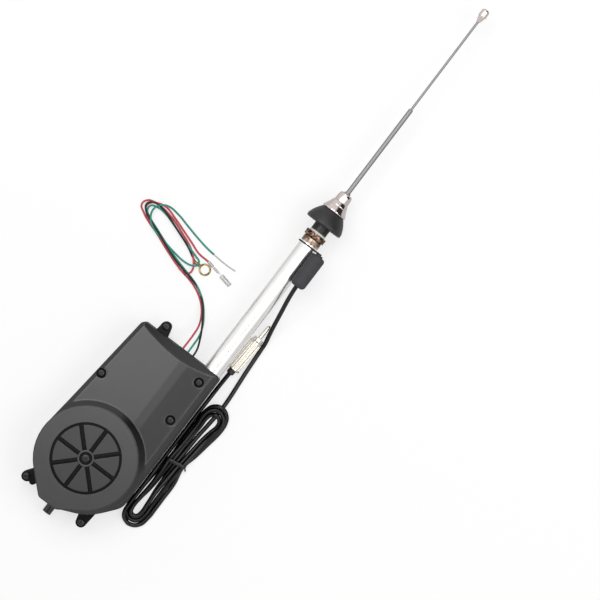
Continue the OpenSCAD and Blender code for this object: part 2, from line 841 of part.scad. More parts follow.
module rear_case() {
    boss_r = 2.6;
    spout_r = 4;
    spout_len = 24;
    spout_z = floor_z + spout_r + 4;
    spout_y = drum_y - chin_drop - rear_chin - 9;
    post_w = 9;
    post_inset = 3;
    color("#474548")
        difference() {
            union() {
                difference() {
                    union() {
                        slab(rear_rounds, 0, floor_z + 3, parting_z);
                        slab(rear_rounds, -back_step, floor_z, parting_z);
                        all_lugs(parting_z - 6, parting_z);
                        translate([drum_x, spout_y, spout_z])
                            rotate([-90, 0, 0])
                                cylinder(h = spout_len, r = spout_r);
                    }
                    slab(rear_rounds, -wall - back_step, rear_inner_z, parting_z + pass);
                    slab(rear_rounds, -wall, floor_z + 3 + wall, parting_z + pass);
                    translate([drum_x, spout_y - pass, spout_z])
                        rotate([-90, 0, 0])
                            cylinder(h = spout_len + pass, r = spout_r - 1.2);
                }
                translate([drum_x, drum_y, rear_inner_z - pass])
                    cylinder(h = worm_wheel_low_z - rear_inner_z + pass - 0.3, r = 5.5);
                translate([edge_screw[0], edge_screw[1], rear_inner_z - pass])
                    cylinder(h = shoulder_z - clear - rear_inner_z + pass, r = boss_r);
                for (y = [motor_top_y - 9, motor_low_y + 9])
                    translate([motor_x - motor_d / 2 - 1, y, rear_inner_z - pass])
                        cube([motor_d + 2, 2.4, motor_z - rear_inner_z + pass]);
                translate([motor_x - post_w / 2, post_y - post_t / 2, rear_inner_z - pass])
                    cube([post_w, post_t, motor_z + shaft_d - rear_inner_z + pass]);
                for (x = [post_inset, board_w - post_inset], y = [post_inset, board_len - post_inset])
                    translate([board_x + x, board_low_y + y, rear_inner_z - pass])
                        cylinder(h = board_z - rear_inner_z + pass, r = 2);
            }
            translate([drum_x, drum_y, floor_z + wall])
                cylinder(h = rear_depth, d = pin_d + 0.06);
            translate([motor_x, 0, motor_z])
                y_cylinder(motor_low_y, motor_top_y, motor_d + 2 * clear);
            translate([motor_x, 0, motor_z])
                y_cylinder(post_y - post_t, post_y + post_t, shaft_d + 2 * run_clear);
            translate([edge_screw[0], edge_screw[1], recess_z - screw_len - 0.5])
                cylinder(h = screw_len + 2, d = screw_d + 2 * clear);
            at_points(lugs)
                translate([0, 0, parting_z - 6 - pass])
                    cylinder(h = 8, d = screw_d + 2 * clear);
            y_cylinder(tube_foot_y - clear, case_top_y + pass, tube_d + 2 * clear);
        }
}

// Everything of the wheel that is cut below the cover's top, its ribs and hub still in it
module wheel_space() {
    rib_gap = 1.1;
    translate([0, 0, cover_z - wheel_depth])
        cylinder(h = cover_t, r = wheel_r - wheel_groove / 2, $fn = 96);
    translate([0, 0, drum_top_z + wheel_floor])
        difference() {
            cylinder(h = cover_t, r = wheel_r, $fn = 96);
            difference() {
                translate([0, 0, -pass])
                    cylinder(h = cover_t + 2 * pass, r = wheel_r - wheel_groove, $fn = 96);
                for (i = [0 : wheel_ribs - 1])
                    rotate([0, 0, i * 360 / wheel_ribs])
                        translate([0, -rib_w / 2 - rib_gap, -2 * pass])
                            cube([wheel_r, rib_w + 2 * rib_gap, cover_t + 4 * pass]);
            }
        }
}

// Round cover with a recessed wheel: sectors, a deep groove round them, ribs and a hub
module drum_cover() {
    edge_drop = 0.9;
    color("#545254")
        difference() {
            union() {
                slab(cover_rounds, 0, drum_top_z, cover_z - edge_drop);
                slab(cover_rounds, -0.9, drum_top_z, cover_z);
                translate([drum_x, drum_y, drum_top_z - 2])
                    difference() {
                        cylinder(h = 3, r = drum_r - wall - clear, $fn = 96);
                        translate([0, 0, -pass])
                            cylinder(h = 3, r = drum_r - 2 * wall - clear, $fn = 96);
                    }
                translate([drum_x, drum_y, reel_hub_high_z + 0.3])
                    cylinder(h = drum_top_z - reel_hub_high_z, r = hub_r);
            }
            translate([drum_x, drum_y, 0]) {
                cylinder(h = pin_top_z, d = pin_d + 0.06);
                difference() {
                    wheel_space();
                    cylinder(h = cover_z - 0.3, r = hub_r);
                    for (i = [0 : wheel_ribs - 1])
                        rotate([0, 0, i * 360 / wheel_ribs])
                            translate([0, -rib_w / 2, 0])
                                cube([wheel_r + pass, rib_w, cover_z - 0.5]);
                }
                translate([0, 0, hub_seat_z])
                    cylinder(h = cover_t, r = hub_r - 1.4);
                cylinder(h = cover_z, d = screw_d + 4 * clear);
            }
        }
}

// Cross-headed screw, head up, its seat at height 0
module cross_screw(head_d, head_h, length) {
    slot_w = 0.8;
    difference() {
        union() {
            rotate_extrude($fn = 32)
                polygon([
                    [0, 0],
                    [head_d / 2, 0],
                    [head_d / 2, head_h * 0.4],
                    [head_d / 2 - 0.6, head_h * 0.85],
                    [head_d / 4, head_h],
                    [0, head_h]
                ]);
            translate([0, 0, -length])
                cylinder(h = length + 0.2, d = screw_d, $fn = 24);
        }
        for (a = [0, 90])
            rotate([0, 0, a])
                translate([-head_d / 4, -slot_w / 2, head_h - 1.1])
                    cube([head_d / 2, slot_w, 2]);
    }
}

module case_screws() {
    color("#1a1a1a") {
        at_points(concat(tube_screws, [edge_screw]))
            translate([0, 0, recess_z])
                cross_screw(screw_head_d, screw_head_h, screw_len);
        at_points(lugs)
            translate([0, 0, lug_z])
                cross_screw(screw_head_d, screw_head_h, screw_len);
    }
}

module cover_screw() {
    color("#1a1a1a")
        translate([drum_x, drum_y, hub_seat_z])
            cross_screw(screw_head_d + 1.4, screw_head_h, 6);
}

module wire_grommets() {
    color("black")
        at_points(wire_exits)
            translate([0, 0.8, wire_exit_z])
                rotate([90, 0, 0])
                    difference() {
                        union() {
                            cylinder(h = 0.8, d = grommet_d + 1.4);
                            cylinder(h = 0.8 + wall, d = grommet_d - 2 * clear);
                        }
                        translate([0, 0, -pass])
                            cylinder(h = 2 * wall + pass, d = wire_d + 2 * clear);
                    }
}

// Block that holds the foot of the base tube and guides the cord to it
module tube_clamp() {
    clamp_len = 62;
    low_y = case_top_y - clamp_len;
    high_y = case_top_y - corner_r;
    low_z = parting_z - 5;
    half_w = case_right - wall - clear;
    color("dimgray")
        difference() {
            union() {
                translate([-half_w, low_y, low_z])
                    cube([2 * half_w, tube_foot_y - low_y - clear, shoulder_z - clear - low_z]);
                translate([-half_w, low_y + pass, low_z])
                    cube([2 * half_w, high_y - low_y - pass, -low_z - 2]);
            }
            y_cylinder(tube_foot_y - clear, case_top_y, tube_d + 2 * clear);
            y_cylinder(low_y - pass, case_top_y, cord_d + 6 * clear);
            at_points(tube_screws)
                translate([0, 0, recess_z - screw_len - 0.3])
                    cylinder(h = screw_len + 2, d = screw_d + 2 * clear);
        }
}

module reel_pin() {
    color("silver")
        translate([drum_x, drum_y, rear_inner_z])
            difference() {
                cylinder(h = pin_top_z - rear_inner_z, d = pin_d);
                translate([0, 0, pin_top_z - rear_inner_z - 5])
                    cylinder(h = 6, d = screw_d + 2 * clear);
            }
}

module cord_reel() {
    web_t = 2;
    core_r = coil_r - cord_r - 0.1;
    core_low = core_r - 2.4;
    color("ivory")
        translate([drum_x, drum_y, 0])
            difference() {
                rotate_extrude($fn = 96)
                    polygon([
                        [pin_d / 2 + run_clear, reel_hub_low_z],
                        [reel_hub_r, reel_hub_low_z],
                        [reel_hub_r, reel_low_z],
                        [reel_r, reel_low_z],
                        [reel_r, reel_low_z + reel_flange_t],
                        [core_r, reel_low_z + reel_flange_t],
                        [core_r, reel_high_z - reel_flange_t],
                        [reel_r, reel_high_z - reel_flange_t],
                        [reel_r, reel_high_z],
                        [core_low, reel_high_z],
                        [core_low, reel_low_z + web_t],
                        [reel_hub_r, reel_low_z + web_t],
                        [reel_hub_r, reel_hub_high_z],
                        [pin_d / 2 + run_clear, reel_hub_high_z]
                    ]);
                for (i = [0 : 5])
                    rotate([0, 0, i * 60])
                        translate([(reel_hub_r + core_low) / 2, 0, reel_low_z - pass])
                            cylinder(h = web_t + 2 * pass, r = 8);
            }
}

// The turns of cord that lie on the reel, side by side
module wound_cord() {
    color("white")
        translate([drum_x, drum_y, 0])
            rotate_extrude($fn = 96)
                for (i = [0 : cord_turns - 1])
                    translate([coil_r, i * cord_pitch])
                        circle(d = cord_d, $fn = 24);
}

// The straight stretch of cord from the reel up to the tip rod's foot
module drive_cord() {
    leave = sqrt(2 * coil_r * (cord_d + 0.3));
    color("white")
        y_cylinder(drum_y + leave, tip_foot_y, cord_d);
}

function gear_points(teeth, root_r, tip_r) = [
    for (i = [0 : teeth - 1], s = [[-0.32, root_r], [-0.16, tip_r], [0.16, tip_r], [0.32, root_r]])
        let (a = (i + s[0]) * 360 / teeth) [s[1] * cos(a), s[1] * sin(a)]
];

module worm_wheel() {
    color("tan")
        translate([drum_x, drum_y, worm_wheel_low_z])
            difference() {
                linear_extrude(worm_wheel_t)
                    polygon(gear_points(worm_wheel_teeth, worm_wheel_d / 2 - 1.8, worm_wheel_d / 2));
                translate([0, 0, -pass])
                    cylinder(h = worm_wheel_t + 2 * pass, d = pin_d + 2 * run_clear);
            }
}

module along_motor() {
    translate([motor_x, 0, motor_z])
        children();
}

module motor_can() {
    color("lightslategray")
        along_motor()
            difference() {
                union() {
                    y_cylinder(motor_low_y, motor_top_y, motor_d);
                    y_cylinder(motor_low_y - 2.5, motor_top_y, 9);
                }
                y_cylinder(motor_low_y + motor_wall, motor_top_y + pass, motor_d - 2 * motor_wall);
                y_cylinder(motor_low_y - 2 * motor_wall - pass, motor_top_y, shaft_d + 2 * run_clear);
            }
}

module motor_end_cap() {
    cap_t = 3;
    cap_d = motor_d - 2 * motor_wall - 2 * clear;
    color("black")
        along_motor()
            y_tube(motor_top_y - cap_t, motor_top_y, cap_d, shaft_d + 2 * run_clear);
}

module motor_magnets() {
    magnet_t = 2.3;
    outer = motor_d / 2 - motor_wall - clear;
    color("#303034")
        along_motor()
            difference() {
                y_tube(motor_low_y + 8, motor_top_y - 15, 2 * outer, 2 * (outer - magnet_t));
                translate([-motor_d, motor_low_y, -2.5])
                    cube([2 * motor_d, motor_len, 5]);
            }
}

module armature_core() {
    poles = 5;
    color("#55504a")
        along_motor()
            difference() {
                y_tube(core_low_y, core_high_y, 2 * core_r, shaft_d);
                for (i = [0 : poles - 1])
                    rotate([0, i * 360 / poles, 0])
                        translate([-0.8, core_low_y - pass, core_r / 2])
                            cube([1.6, core_high_y - core_low_y + 2 * pass, core_r]);
            }
}

module armature_windings() {
    color("#b0622c")
        along_motor() {
            y_tube(core_low_y - 5, core_low_y, 2 * core_r - 2.4, shaft_d);
            y_tube(core_high_y, core_high_y + 5, 2 * core_r - 2.4, shaft_d);
        }
}

module commutator() {
    color("#c08850")
        along_motor()
            y_tube(core_high_y + 5, core_high_y + 13, 2 * commutator_r, shaft_d);
}

module brushes() {
    color("#2a2a2c")
        along_motor()
            for (s = [-1, 1])
                scale([s, 1, 1])
                    translate([commutator_r + run_clear, core_high_y + 7, -1.5])
                        cube([motor_d / 2 - motor_wall - clear - 0.4 - commutator_r, 4, 3]);
}

module motor_shaft() {
    color("silver")
        along_motor()
            y_cylinder(shaft_low_y, motor_top_y - 0.5, shaft_d);
}

// Worm on the motor's shaft, its thread drawn as rings of the same pitch
module worm() {
    pitch = PI * worm_wheel_d / worm_wheel_teeth;
    rings = floor(worm_len / pitch);
    low = drum_y - rings * pitch / 2;
    root_r = worm_d / 2 - 1.1;
    color("goldenrod")
        along_motor()
            y_turned(concat(
                [[shaft_d / 2, low + rings * pitch], [shaft_d / 2, low]],
                [for (i = [0 : rings - 1], s = [[0, 0], [0.25, 1], [0.55, 1], [0.8, 0]])
                    [root_r + s[1] * (worm_d / 2 - root_r), low + (i + s[0]) * pitch]],
                [[root_r, low + rings * pitch]]
            ));
}

module control_board() {
    color("#2e6b3a")
        translate([board_x, board_low_y, board_z])
            cube([board_w, board_len, 1.6]);
}

module relays() {
    color("#222428")
        for (y = [board_low_y + 4, board_low_y + 24])
            translate([board_x + 5, y, board_z + 1.6])
                cube([15.5, 17, 14]);
}

// Bracket and tube under the flange that the coax plugs into
module coax_socket() {
    plate_t = 1.4;
    reach = norm([boot_x, boot_z]);
    color("silver")
        difference() {
            union() {
                translate([0, flange_y - plate_t - 1.2, 0])
                    rotate([-90, 0, 0])
                        cylinder(h = plate_t, d = tube_d + 3.2);
                translate([0, flange_y - plate_t - 1.2, 0])
                    rotate([0, -atan2(boot_z, boot_x), 0])
                        translate([0, 0, -2.6])
                            cube([reach, plate_t, 5.2]);
                translate([boot_x, boot_y - boot_len * 0.6, boot_z])
                    rotate([-90, 0, 0])
                        cylinder(h = boot_len * 0.6 + boot_y - flange_y + 3.8 + 1.2, d = socket_d);
            }
            y_cylinder(flange_y - 10, flange_y + pass, tube_d + 0.06);
        }
}

module coax_boot() {
    r = boot_d / 2;
    round_end = 4;
    round_top = 3;
    bore = socket_d / 2 + clear;
    color("#48474a")
        translate([boot_x, boot_y, boot_z])
            y_turned(concat(
                [[bore, -boot_len * 0.6 - clear], [bore, 0]],
                [for (a = [90 : -15 : 0]) [
                    r - round_top + round_top * cos(a),
                    -round_top + round_top * sin(a)
                ]],
                [for (a = [0 : 15 : 75]) [
                    r - round_end + round_end * cos(a),
                    -boot_len + round_end - round_end * sin(a)
                ]],
                [[coax_d / 2 + 0.8, -boot_len], [0, -boot_len], [0, -boot_len * 0.6 - clear]]
            ));
}

module coax_lead() {
    color("#2a2a2c")
        route_tube(lead_route, coax_d, 10);
}

module coax_tail() {
    color("#2a2a2c")
        route_tube(tail_route, coax_d, 10);
}

module coax_hank() {
    color("#1e1e20")
        translate([0, 0, floor_z])
            linear_extrude(hank_h)
                union() {
                    polygon(round_outline([hank_top, hank_waist]));
                    polygon(round_outline([hank_waist, hank_low]));
                }
}

module cable_tie() {
    low = floor_z;
    half = hank_waist[2] + 0.35;
    color("black")
        difference() {
            translate([hank_waist[0] - half - tie_t, hank_waist[1] - tie_w / 2, low])
                cube([2 * (half + tie_t) + 1.6, tie_w, hank_h + tie_t]);
            translate([hank_waist[0] - half, hank_waist[1] - tie_w, low - pass])
                cube([2 * half, 2 * tie_w, hank_h + pass]);
        }
}

module at_plug() {
    translate(plug_back)
        rotate([0, 0, -plug_tilt])
            children();
}

module plug_barrel() {
    flutes = 16;
    color("#c9c2b8")
        at_plug()
            difference() {
                y_turned([
                    [0, 0],
                    [plug_d / 2 - 0.6, 0],
                    [plug_d / 2, 0.6],
                    [plug_d / 2, plug_len - 4],
                    [plug_d / 2 - 1, plug_len - 3],
                    [plug_d / 2 - 1.4, plug_len],
                    [plug_d / 2 - 2.4, plug_len],
                    [plug_d / 2 - 2.4, plug_len - 5],
                    [0, plug_len - 5]
                ]);
                for (i = [0 : flutes - 1])
                    rotate([0, i * 360 / flutes, 0])
                        translate([plug_d / 2 + 0.35, 2, 0])
                            rotate([-90, 0, 0])
                                cylinder(h = plug_len - 8, r = 0.9, $fn = 16);
            }
}

module plug_insulator() {
    color("ivory")
        at_plug()
            y_tube(plug_len - 5, plug_len - 1, plug_d - 4.8 - 2 * clear, plug_root_d);
}

module plug_pin() {
    color("#b8b4ae")
        at_plug()
            y_turned([
                [0, plug_len - 5],
                [plug_root_d / 2, plug_len - 5],
                [plug_root_d / 2, plug_len - 5 + plug_root_len],
                [plug_pin_d / 2, plug_len - 5 + plug_root_len],
                [plug_pin_d / 2, plug_len + plug_pin_len - 2],
                [plug_pin_d / 2 - 0.9, plug_len + plug_pin_len - 0.4],
                [0, plug_len + plug_pin_len]
            ]);
}

module plug_ferrule() {
    color("#3a3a3c")
        at_plug()
            y_turned([
                [0, -ferrule_len],
                [coax_d / 2 + 0.3, -ferrule_len],
                [ferrule_d / 2, -ferrule_len + 1],
                [ferrule_d / 2, 0],
                [0, 0]
            ]);
}

module wire_red_lead() {
    color("#d0505c")
        route_tube(red_lead_route, wire_d, 8);
}

module wire_green_lead() {
    color("#2f8a78")
        route_tube(green_lead_route, wire_d, 8);
}

module wire_black_lead() {
    color("#1c1c1e")
        route_tube(black_lead_route, wire_d, 8);
}

module wire_bundle() {
    color("#a04450")
        route_tube(bundle_route, bundle_d, 8);
}

module wire_loop() {
    color("#b04a54")
        translate([0, 0, floor_z])
            linear_extrude(loop_h)
                difference() {
                    polygon(round_outline([loop_left, loop_right]));
                    polygon(round_outline([loop_hole_left, loop_hole_right]));
                }
}

module wire_red_tail() {
    color("#d0505c")
        route_tube(red_tail_route, wire_d, 8);
}

module wire_green_tail() {
    color("#2f8a78")
        route_tube(green_tail_route, wire_d, 8);
}

module green_bare_end() {
    color("#c9c9c9")
        route_tube(green_bare_route, wire_d * 0.7, 8);
}

// Ring terminal crimped on the black wire, flat on the surface
module ring_terminal() {
    color("#c8b060")
        translate([ring_centre[0], ring_centre[1], floor_z]) {
            difference() {
                union() {
                    cylinder(h = ring_t, d = ring_d);
                    translate([-ring_d / 2 - 3, -1.6, 0])
                        cube([ring_d / 2, 3.2, ring_t]);
                    translate([-ring_d / 2 - 1.5, 0, 1.5])
                        rotate([0, -90, 0])
                            cylinder(h = 5.5, r = 1.5);
                }
                translate([0, 0, -pass])
                    cylinder(h = ring_t + 2 * pass, d = ring_hole_d);
            }
        }
}

// Crimp terminal on the red wire: two barrels, a neck and a blade with rolled sides
module red_terminal() {
    grip_r = 1.3;
    crimp_r = 1;
    sheet_t = 0.5;
    roll_r = 0.7;
    blade_x = 16.5;
    blade_w = 4.2;
    blade_len = 12;
    color("#d2d2d2")
        translate([red_end[0], red_end[1], floor_z])
            rotate([0, 0, -11]) {
                translate([0, 0, grip_r])
                    rotate([0, 90, 0])
                        cylinder(h = 6, r = grip_r);
                translate([7, 0, crimp_r + 0.2])
                    rotate([0, 90, 0])
                        cylinder(h = 5.5, r = crimp_r);
                translate([5, -0.8, 0.1])
                    cube([blade_x - 4, 1.6, sheet_t]);
                translate([blade_x, -blade_w / 2, 0])
                    cube([blade_len, blade_w, sheet_t]);
                for (side = [-1, 1])
                    translate([blade_x + 0.2, side * (blade_w / 2 - roll_r), roll_r + 0.1])
                        rotate([0, 90, 0])
                            cylinder(h = blade_len - 0.6, r = roll_r, $fn = 24);
            }
}

front_case();
rear_case();
drum_cover();
case_screws();
cover_screw();
wire_grommets();
tube_clamp();
control_board();
relays();
reel_pin();
cord_reel();
wound_cord();
drive_cord();
worm_wheel();
worm();
motor_can();
motor_end_cap();
motor_magnets();
brushes();
motor_shaft();
armature_core();
armature_windings();
commutator();
base_tube();
lower_insulator();
fixed_tube();
upper_insulator();
threaded_neck();
claw_washer();
plain_washer();
ribbed_collar();
wing_pad();
chrome_cone();
top_nut();
mast_section_1();
mast_section_2();
mast_section_3();
tip_rod();
tip_button();
coax_socket();
coax_boot();
coax_lead();
coax_hank();
coax_tail();
cable_tie();
plug_barrel();
plug_insulator();
plug_pin();
plug_ferrule();
wire_red_lead();
wire_green_lead();
wire_black_lead();
wire_bundle();
wire_loop();
wire_red_tail();
wire_green_tail();
green_bare_end();
ring_terminal();
red_terminal();
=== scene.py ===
"""Electric car mast aerial, lying on its back: finishes, cords and stage over its CAD frame."""
import math

import bmesh
import bpy
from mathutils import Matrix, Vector


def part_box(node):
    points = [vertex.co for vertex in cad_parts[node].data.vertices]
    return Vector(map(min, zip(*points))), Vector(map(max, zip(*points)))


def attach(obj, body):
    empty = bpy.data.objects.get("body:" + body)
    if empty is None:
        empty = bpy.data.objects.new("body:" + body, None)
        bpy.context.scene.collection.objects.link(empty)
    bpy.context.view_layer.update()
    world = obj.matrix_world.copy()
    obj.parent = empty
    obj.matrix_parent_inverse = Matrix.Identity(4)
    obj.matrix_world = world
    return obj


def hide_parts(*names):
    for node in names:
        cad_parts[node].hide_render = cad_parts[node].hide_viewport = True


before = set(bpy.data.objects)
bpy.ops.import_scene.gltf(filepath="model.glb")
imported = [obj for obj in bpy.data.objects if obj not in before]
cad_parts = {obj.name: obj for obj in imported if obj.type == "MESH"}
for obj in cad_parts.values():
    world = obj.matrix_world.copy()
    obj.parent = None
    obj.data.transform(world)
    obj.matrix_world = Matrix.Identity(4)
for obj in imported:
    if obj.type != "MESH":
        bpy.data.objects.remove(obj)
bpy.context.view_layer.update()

bl_info = {
    "name": "Car mast aerial",
    "version": (1, 0, 0),
    "blender": (4, 5, 0),
    "location": "3D View > Sidebar > Aerial",
    "description": "Dresses the CAD model of an electric car mast aerial and sets its stage",
    "category": "Object",
}

MM = 0.001
HOUSING = "housing"

# Surface that the aerial lies on, as low as the case's flat back
FLOOR_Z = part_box("rear_case")[0][2]

# Span that a noise texture seldom leaves
NOISE_LOW, NOISE_HIGH = 0.3, 0.7

# Colours that several pieces share
BLACK_PLASTIC = "#161617"
BLACKENED_STEEL = "#303032"


# Small tools

def linear(code):
    """Turn an sRGB hex colour such as #4c4b4d into linear red, green and blue."""
    parts = [int(code[i:i + 2], 16) / 255 for i in (1, 3, 5)]
    return tuple(p / 12.92 if p <= 0.04045 else ((p + 0.055) / 1.055) ** 2.4 for p in parts)


def opaque(colour):
    """A colour with an alpha of one, as a shader socket takes it."""
    return (*colour[:3], 1.0)


def shade(colour, factor):
    """The same hue, lighter or darker."""
    return tuple(min(1.0, c * factor) for c in colour[:3])


def mottled(colour, dark, light):
    """Ramp stops from a darker to a lighter cast of a colour, over a noise's span."""
    return [(NOISE_LOW, shade(colour, dark)), (NOISE_HIGH, shade(colour, light))]


def per(millimetres):
    """Texture scale at which one feature is that many millimetres across."""
    return 1 / (millimetres * MM)


def add_node(tree, kind, settings=(), links=()):
    """Add one node with its settings, each (socket or attribute, value), and its links,
    each (socket, the output that feeds it). A colour ramp's stops are (place, colour)."""
    node = tree.nodes.new(kind)
    for name, value in settings:
        if name == "stops":
            marks = node.color_ramp.elements
            while len(marks) < len(value):
                marks.new(0.5)
            for mark, (place, colour) in zip(marks, value):
                mark.position = place
                mark.color = opaque(colour)
        elif isinstance(name, int) or name in node.inputs:
            node.inputs[name].default_value = value
        else:
            setattr(node, name, value)
    for name, output in links:
        tree.links.new(output, node.inputs[name])
    return node


def new_finish(name, colour, metallic, **sockets):
    """A material with its Principled shader set, and the place that its patterns follow."""
    finish = bpy.data.materials.new(name)
    finish.use_nodes = True
    finish.diffuse_color = opaque(colour)
    tree = finish.node_tree
    tree.nodes.clear()
    shader = add_node(tree, "ShaderNodeBsdfPrincipled", [
        ("Base Color", opaque(colour)), ("Metallic", metallic),
        *((key.replace("_", " "), value) for key, value in sockets.items()),
    ])
    add_node(tree, "ShaderNodeOutputMaterial", links=[("Surface", shader.outputs[0])])
    place = add_node(tree, "ShaderNodeTexCoord").outputs["Object"]
    return finish, tree, shader, place


def uneven_colour(tree, shader, pattern, stops):
    """Colour that follows a pattern, between (place, colour) stops."""
    tone = add_node(tree, "ShaderNodeValToRGB", [("stops", stops)], [("Fac", pattern)])
    tree.links.new(tone.outputs["Color"], shader.inputs["Base Color"])


def uneven_gloss(tree, shader, pattern, low, high):
    """Gloss that follows a noise, between two roughnesses."""
    span = add_node(tree, "ShaderNodeMapRange", [
        ("From Min", NOISE_LOW), ("From Max", NOISE_HIGH), ("To Min", low), ("To Max", high),
    ], [("Value", pattern)])
    tree.links.new(span.outputs["Result"], shader.inputs["Roughness"])


def relief(tree, shader, pattern, depth_mm, edge_mm=0.0, strength=1.0):
    """Bump of a real depth, over edges that are rounded by a real radius."""
    bump = add_node(tree, "ShaderNodeBump",
                    [("Strength", strength), ("Distance", depth_mm * MM)], [("Height", pattern)])
    if edge_mm:
        edge = add_node(tree, "ShaderNodeBevel", [("samples", 6), ("Radius", edge_mm * MM)])
        tree.links.new(edge.outputs[0], bump.inputs["Normal"])
    tree.links.new(bump.outputs[0], shader.inputs["Normal"])


# Finishes

def moulded_case_nylon(name, colour, painted_shade_colour, level_stops, edge_mm):
    """Glass-filled nylon, moulded: satin, with dull walls that drag along the tool and edges that
    are a little round. Slopes, the floors of grooves and recesses and the tops of ribs take a
    darker colour as painted shade, and these floors and tops mirror next to nothing. The
    level stops say at which heights a flat keeps the case's colour rather than the painted
    shade, each (height in millimetres, share)."""
    finish, tree, shader, place = new_finish(name, colour, 0.0)
    patches = add_node(tree, "ShaderNodeTexNoise", [("Scale", per(34)), ("Detail", 3.0)],
                       [("Vector", place)]).outputs["Fac"]
    # The real grain is near 0.2 mm and would not show, so it is drawn at 0.7 mm
    grain = add_node(tree, "ShaderNodeTexNoise", [("Scale", per(0.7)), ("Detail", 4.0)],
                     [("Vector", place)]).outputs["Fac"]

    # How far a surface faces up, from 0 on a wall to 1 on a level flat
    surface = add_node(tree, "ShaderNodeNewGeometry").outputs["True Normal"]
    up = add_node(tree, "ShaderNodeSeparateXYZ", links=[("Vector", surface)]).outputs["Z"]
    level = add_node(tree, "ShaderNodeMapRange", [("From Min", 0.985), ("From Max", 0.9995)],
                     [("Value", up)]).outputs["Result"]
    wall = add_node(tree, "ShaderNodeMapRange", [
        ("From Min", 0.4), ("From Max", 0.2), ("To Max", 0.8),
    ], [("Value", up)]).outputs["Result"]

    # The level stops, which share out the case's colour and the painted shade by height, over a
    # ramp that ends 1 mm beyond the first and the last of them
    low, high = level_stops[0][0] - 1, level_stops[-1][0] + 1
    spot = add_node(tree, "ShaderNodeSeparateXYZ", links=[("Vector", place)]).outputs["Z"]
    height = add_node(tree, "ShaderNodeMapRange", [
        ("From Min", low * MM), ("From Max", high * MM),
    ], [("Value", spot)]).outputs["Result"]
    unshaded_share = add_node(tree, "ShaderNodeValToRGB", [
        ("stops", [((z - low) / (high - low), (share,) * 3) for z, share in level_stops]),
    ], [("Fac", height)]).outputs["Color"]
    flat = add_node(tree, "ShaderNodeMath", [("operation", "MULTIPLY")],
                    [(0, level), (1, unshaded_share)]).outputs[0]

    # Flats that keep the case's colour take it, and walls mostly; slopes, groove floors and rib
    # tops take the darker colour as painted shade
    case_tone = add_node(tree, "ShaderNodeValToRGB", [("stops", mottled(colour, 0.94, 1.06))],
                    [("Fac", patches)]).outputs["Color"]
    painted_shade_tone = add_node(tree, "ShaderNodeValToRGB", [("stops", mottled(painted_shade_colour, 0.9, 1.12))],
                     [("Fac", patches)]).outputs["Color"]
    unshaded_mix = add_node(tree, "ShaderNodeMath", [("operation", "MAXIMUM")],
                    [(0, flat), (1, wall)]).outputs[0]
    both = add_node(tree, "ShaderNodeMix", [("data_type", "RGBA")],
                    [("Factor", unshaded_mix), (6, painted_shade_tone), (7, case_tone)])
    tree.links.new(both.outputs[2], shader.inputs["Base Color"])

    # Walls are dull, slopes and flats are satin
    dull = add_node(tree, "ShaderNodeMapRange", [
        ("From Min", 0.25), ("From Max", 0.6), ("To Min", 0.6), ("To Max", 0.24),
    ], [("Value", up)])
    tree.links.new(dull.outputs["Result"], shader.inputs["Roughness"])

    # Walls mirror little and flats that keep the case's colour the most; the floors of grooves
    # and recesses and the tops of ribs mirror next to nothing, which deepens their painted shade
    mirror = add_node(tree, "ShaderNodeMapRange", [
        ("From Min", 0.25), ("From Max", 0.6), ("To Min", 0.3), ("To Max", 0.6),
    ], [("Value", up)]).outputs["Result"]
    shaded_hollow = add_node(tree, "ShaderNodeMath", [("operation", "SUBTRACT")],
                      [(0, level), (1, flat)]).outputs[0]
    less = add_node(tree, "ShaderNodeMath", [("operation", "MULTIPLY_ADD"), (1, -0.48)],
                    [(0, shaded_hollow), (2, mirror)]).outputs[0]
    more = add_node(tree, "ShaderNodeMath", [("operation", "MULTIPLY_ADD"), (1, 0.15)],
                    [(0, flat), (2, less)])
    tree.links.new(more.outputs[0], shader.inputs["Specular IOR Level"])
    relief(tree, shader, grain, 0.01, edge_mm)
    return finish


def moulded_black_plastic(colour):
    """Acetal, moulded: near black with a soft sheen and faint flow marks."""
    finish, tree, shader, place = new_finish("acetal_moulded_black", colour, 0.0)
    flow = add_node(tree, "ShaderNodeTexNoise", [("Scale", per(6)), ("Detail", 3.0)],
                    [("Vector", place)]).outputs["Fac"]
    uneven_colour(tree, shader, flow, mottled(colour, 0.8, 1.25))
    uneven_gloss(tree, shader, flow, 0.28, 0.44)
    pores = add_node(tree, "ShaderNodeTexNoise", [("Scale", per(0.5)), ("Detail", 3.0)],
                     [("Vector", place)]).outputs["Fac"]
    relief(tree, shader, pores, 0.015, edge_mm=0.15)
    return finish


def moulded_white_nylon(colour):
    """Unfilled nylon, moulded: milky, slightly glossy, a little light gets into it."""
    finish, tree, shader, place = new_finish(
        "nylon_moulded_natural", colour, 0.0, Roughness=0.32, Subsurface_Weight=0.15,
        Subsurface_Scale=0.002)
    flow = add_node(tree, "ShaderNodeTexNoise", [("Scale", per(8)), ("Detail", 3.0)],
                    [("Vector", place)]).outputs["Fac"]
    uneven_colour(tree, shader, flow, mottled(colour, 0.94, 1.03))
    relief(tree, shader, flow, 0.02)
    return finish


def blackened_steel(colour):
    """Steel, blackened in hot oxide: dark and oily, with small bright spots, partly rubbed
    wear and partly painted glints.
    """
    finish, tree, shader, place = new_finish("steel_black_oxide", colour, 0.75)
    spots = add_node(tree, "ShaderNodeTexNoise", [("Scale", per(0.9)), ("Detail", 4.0)],
                     [("Vector", place)]).outputs["Fac"]
    # The bright spots are partly rubbed wear and partly painted glints
    uneven_colour(tree, shader, spots, mottled(colour, 0.7, 1.7))
    uneven_gloss(tree, shader, spots, 0.2, 0.42)
    relief(tree, shader, spots, 0.01, edge_mm=0.2)
    return finish


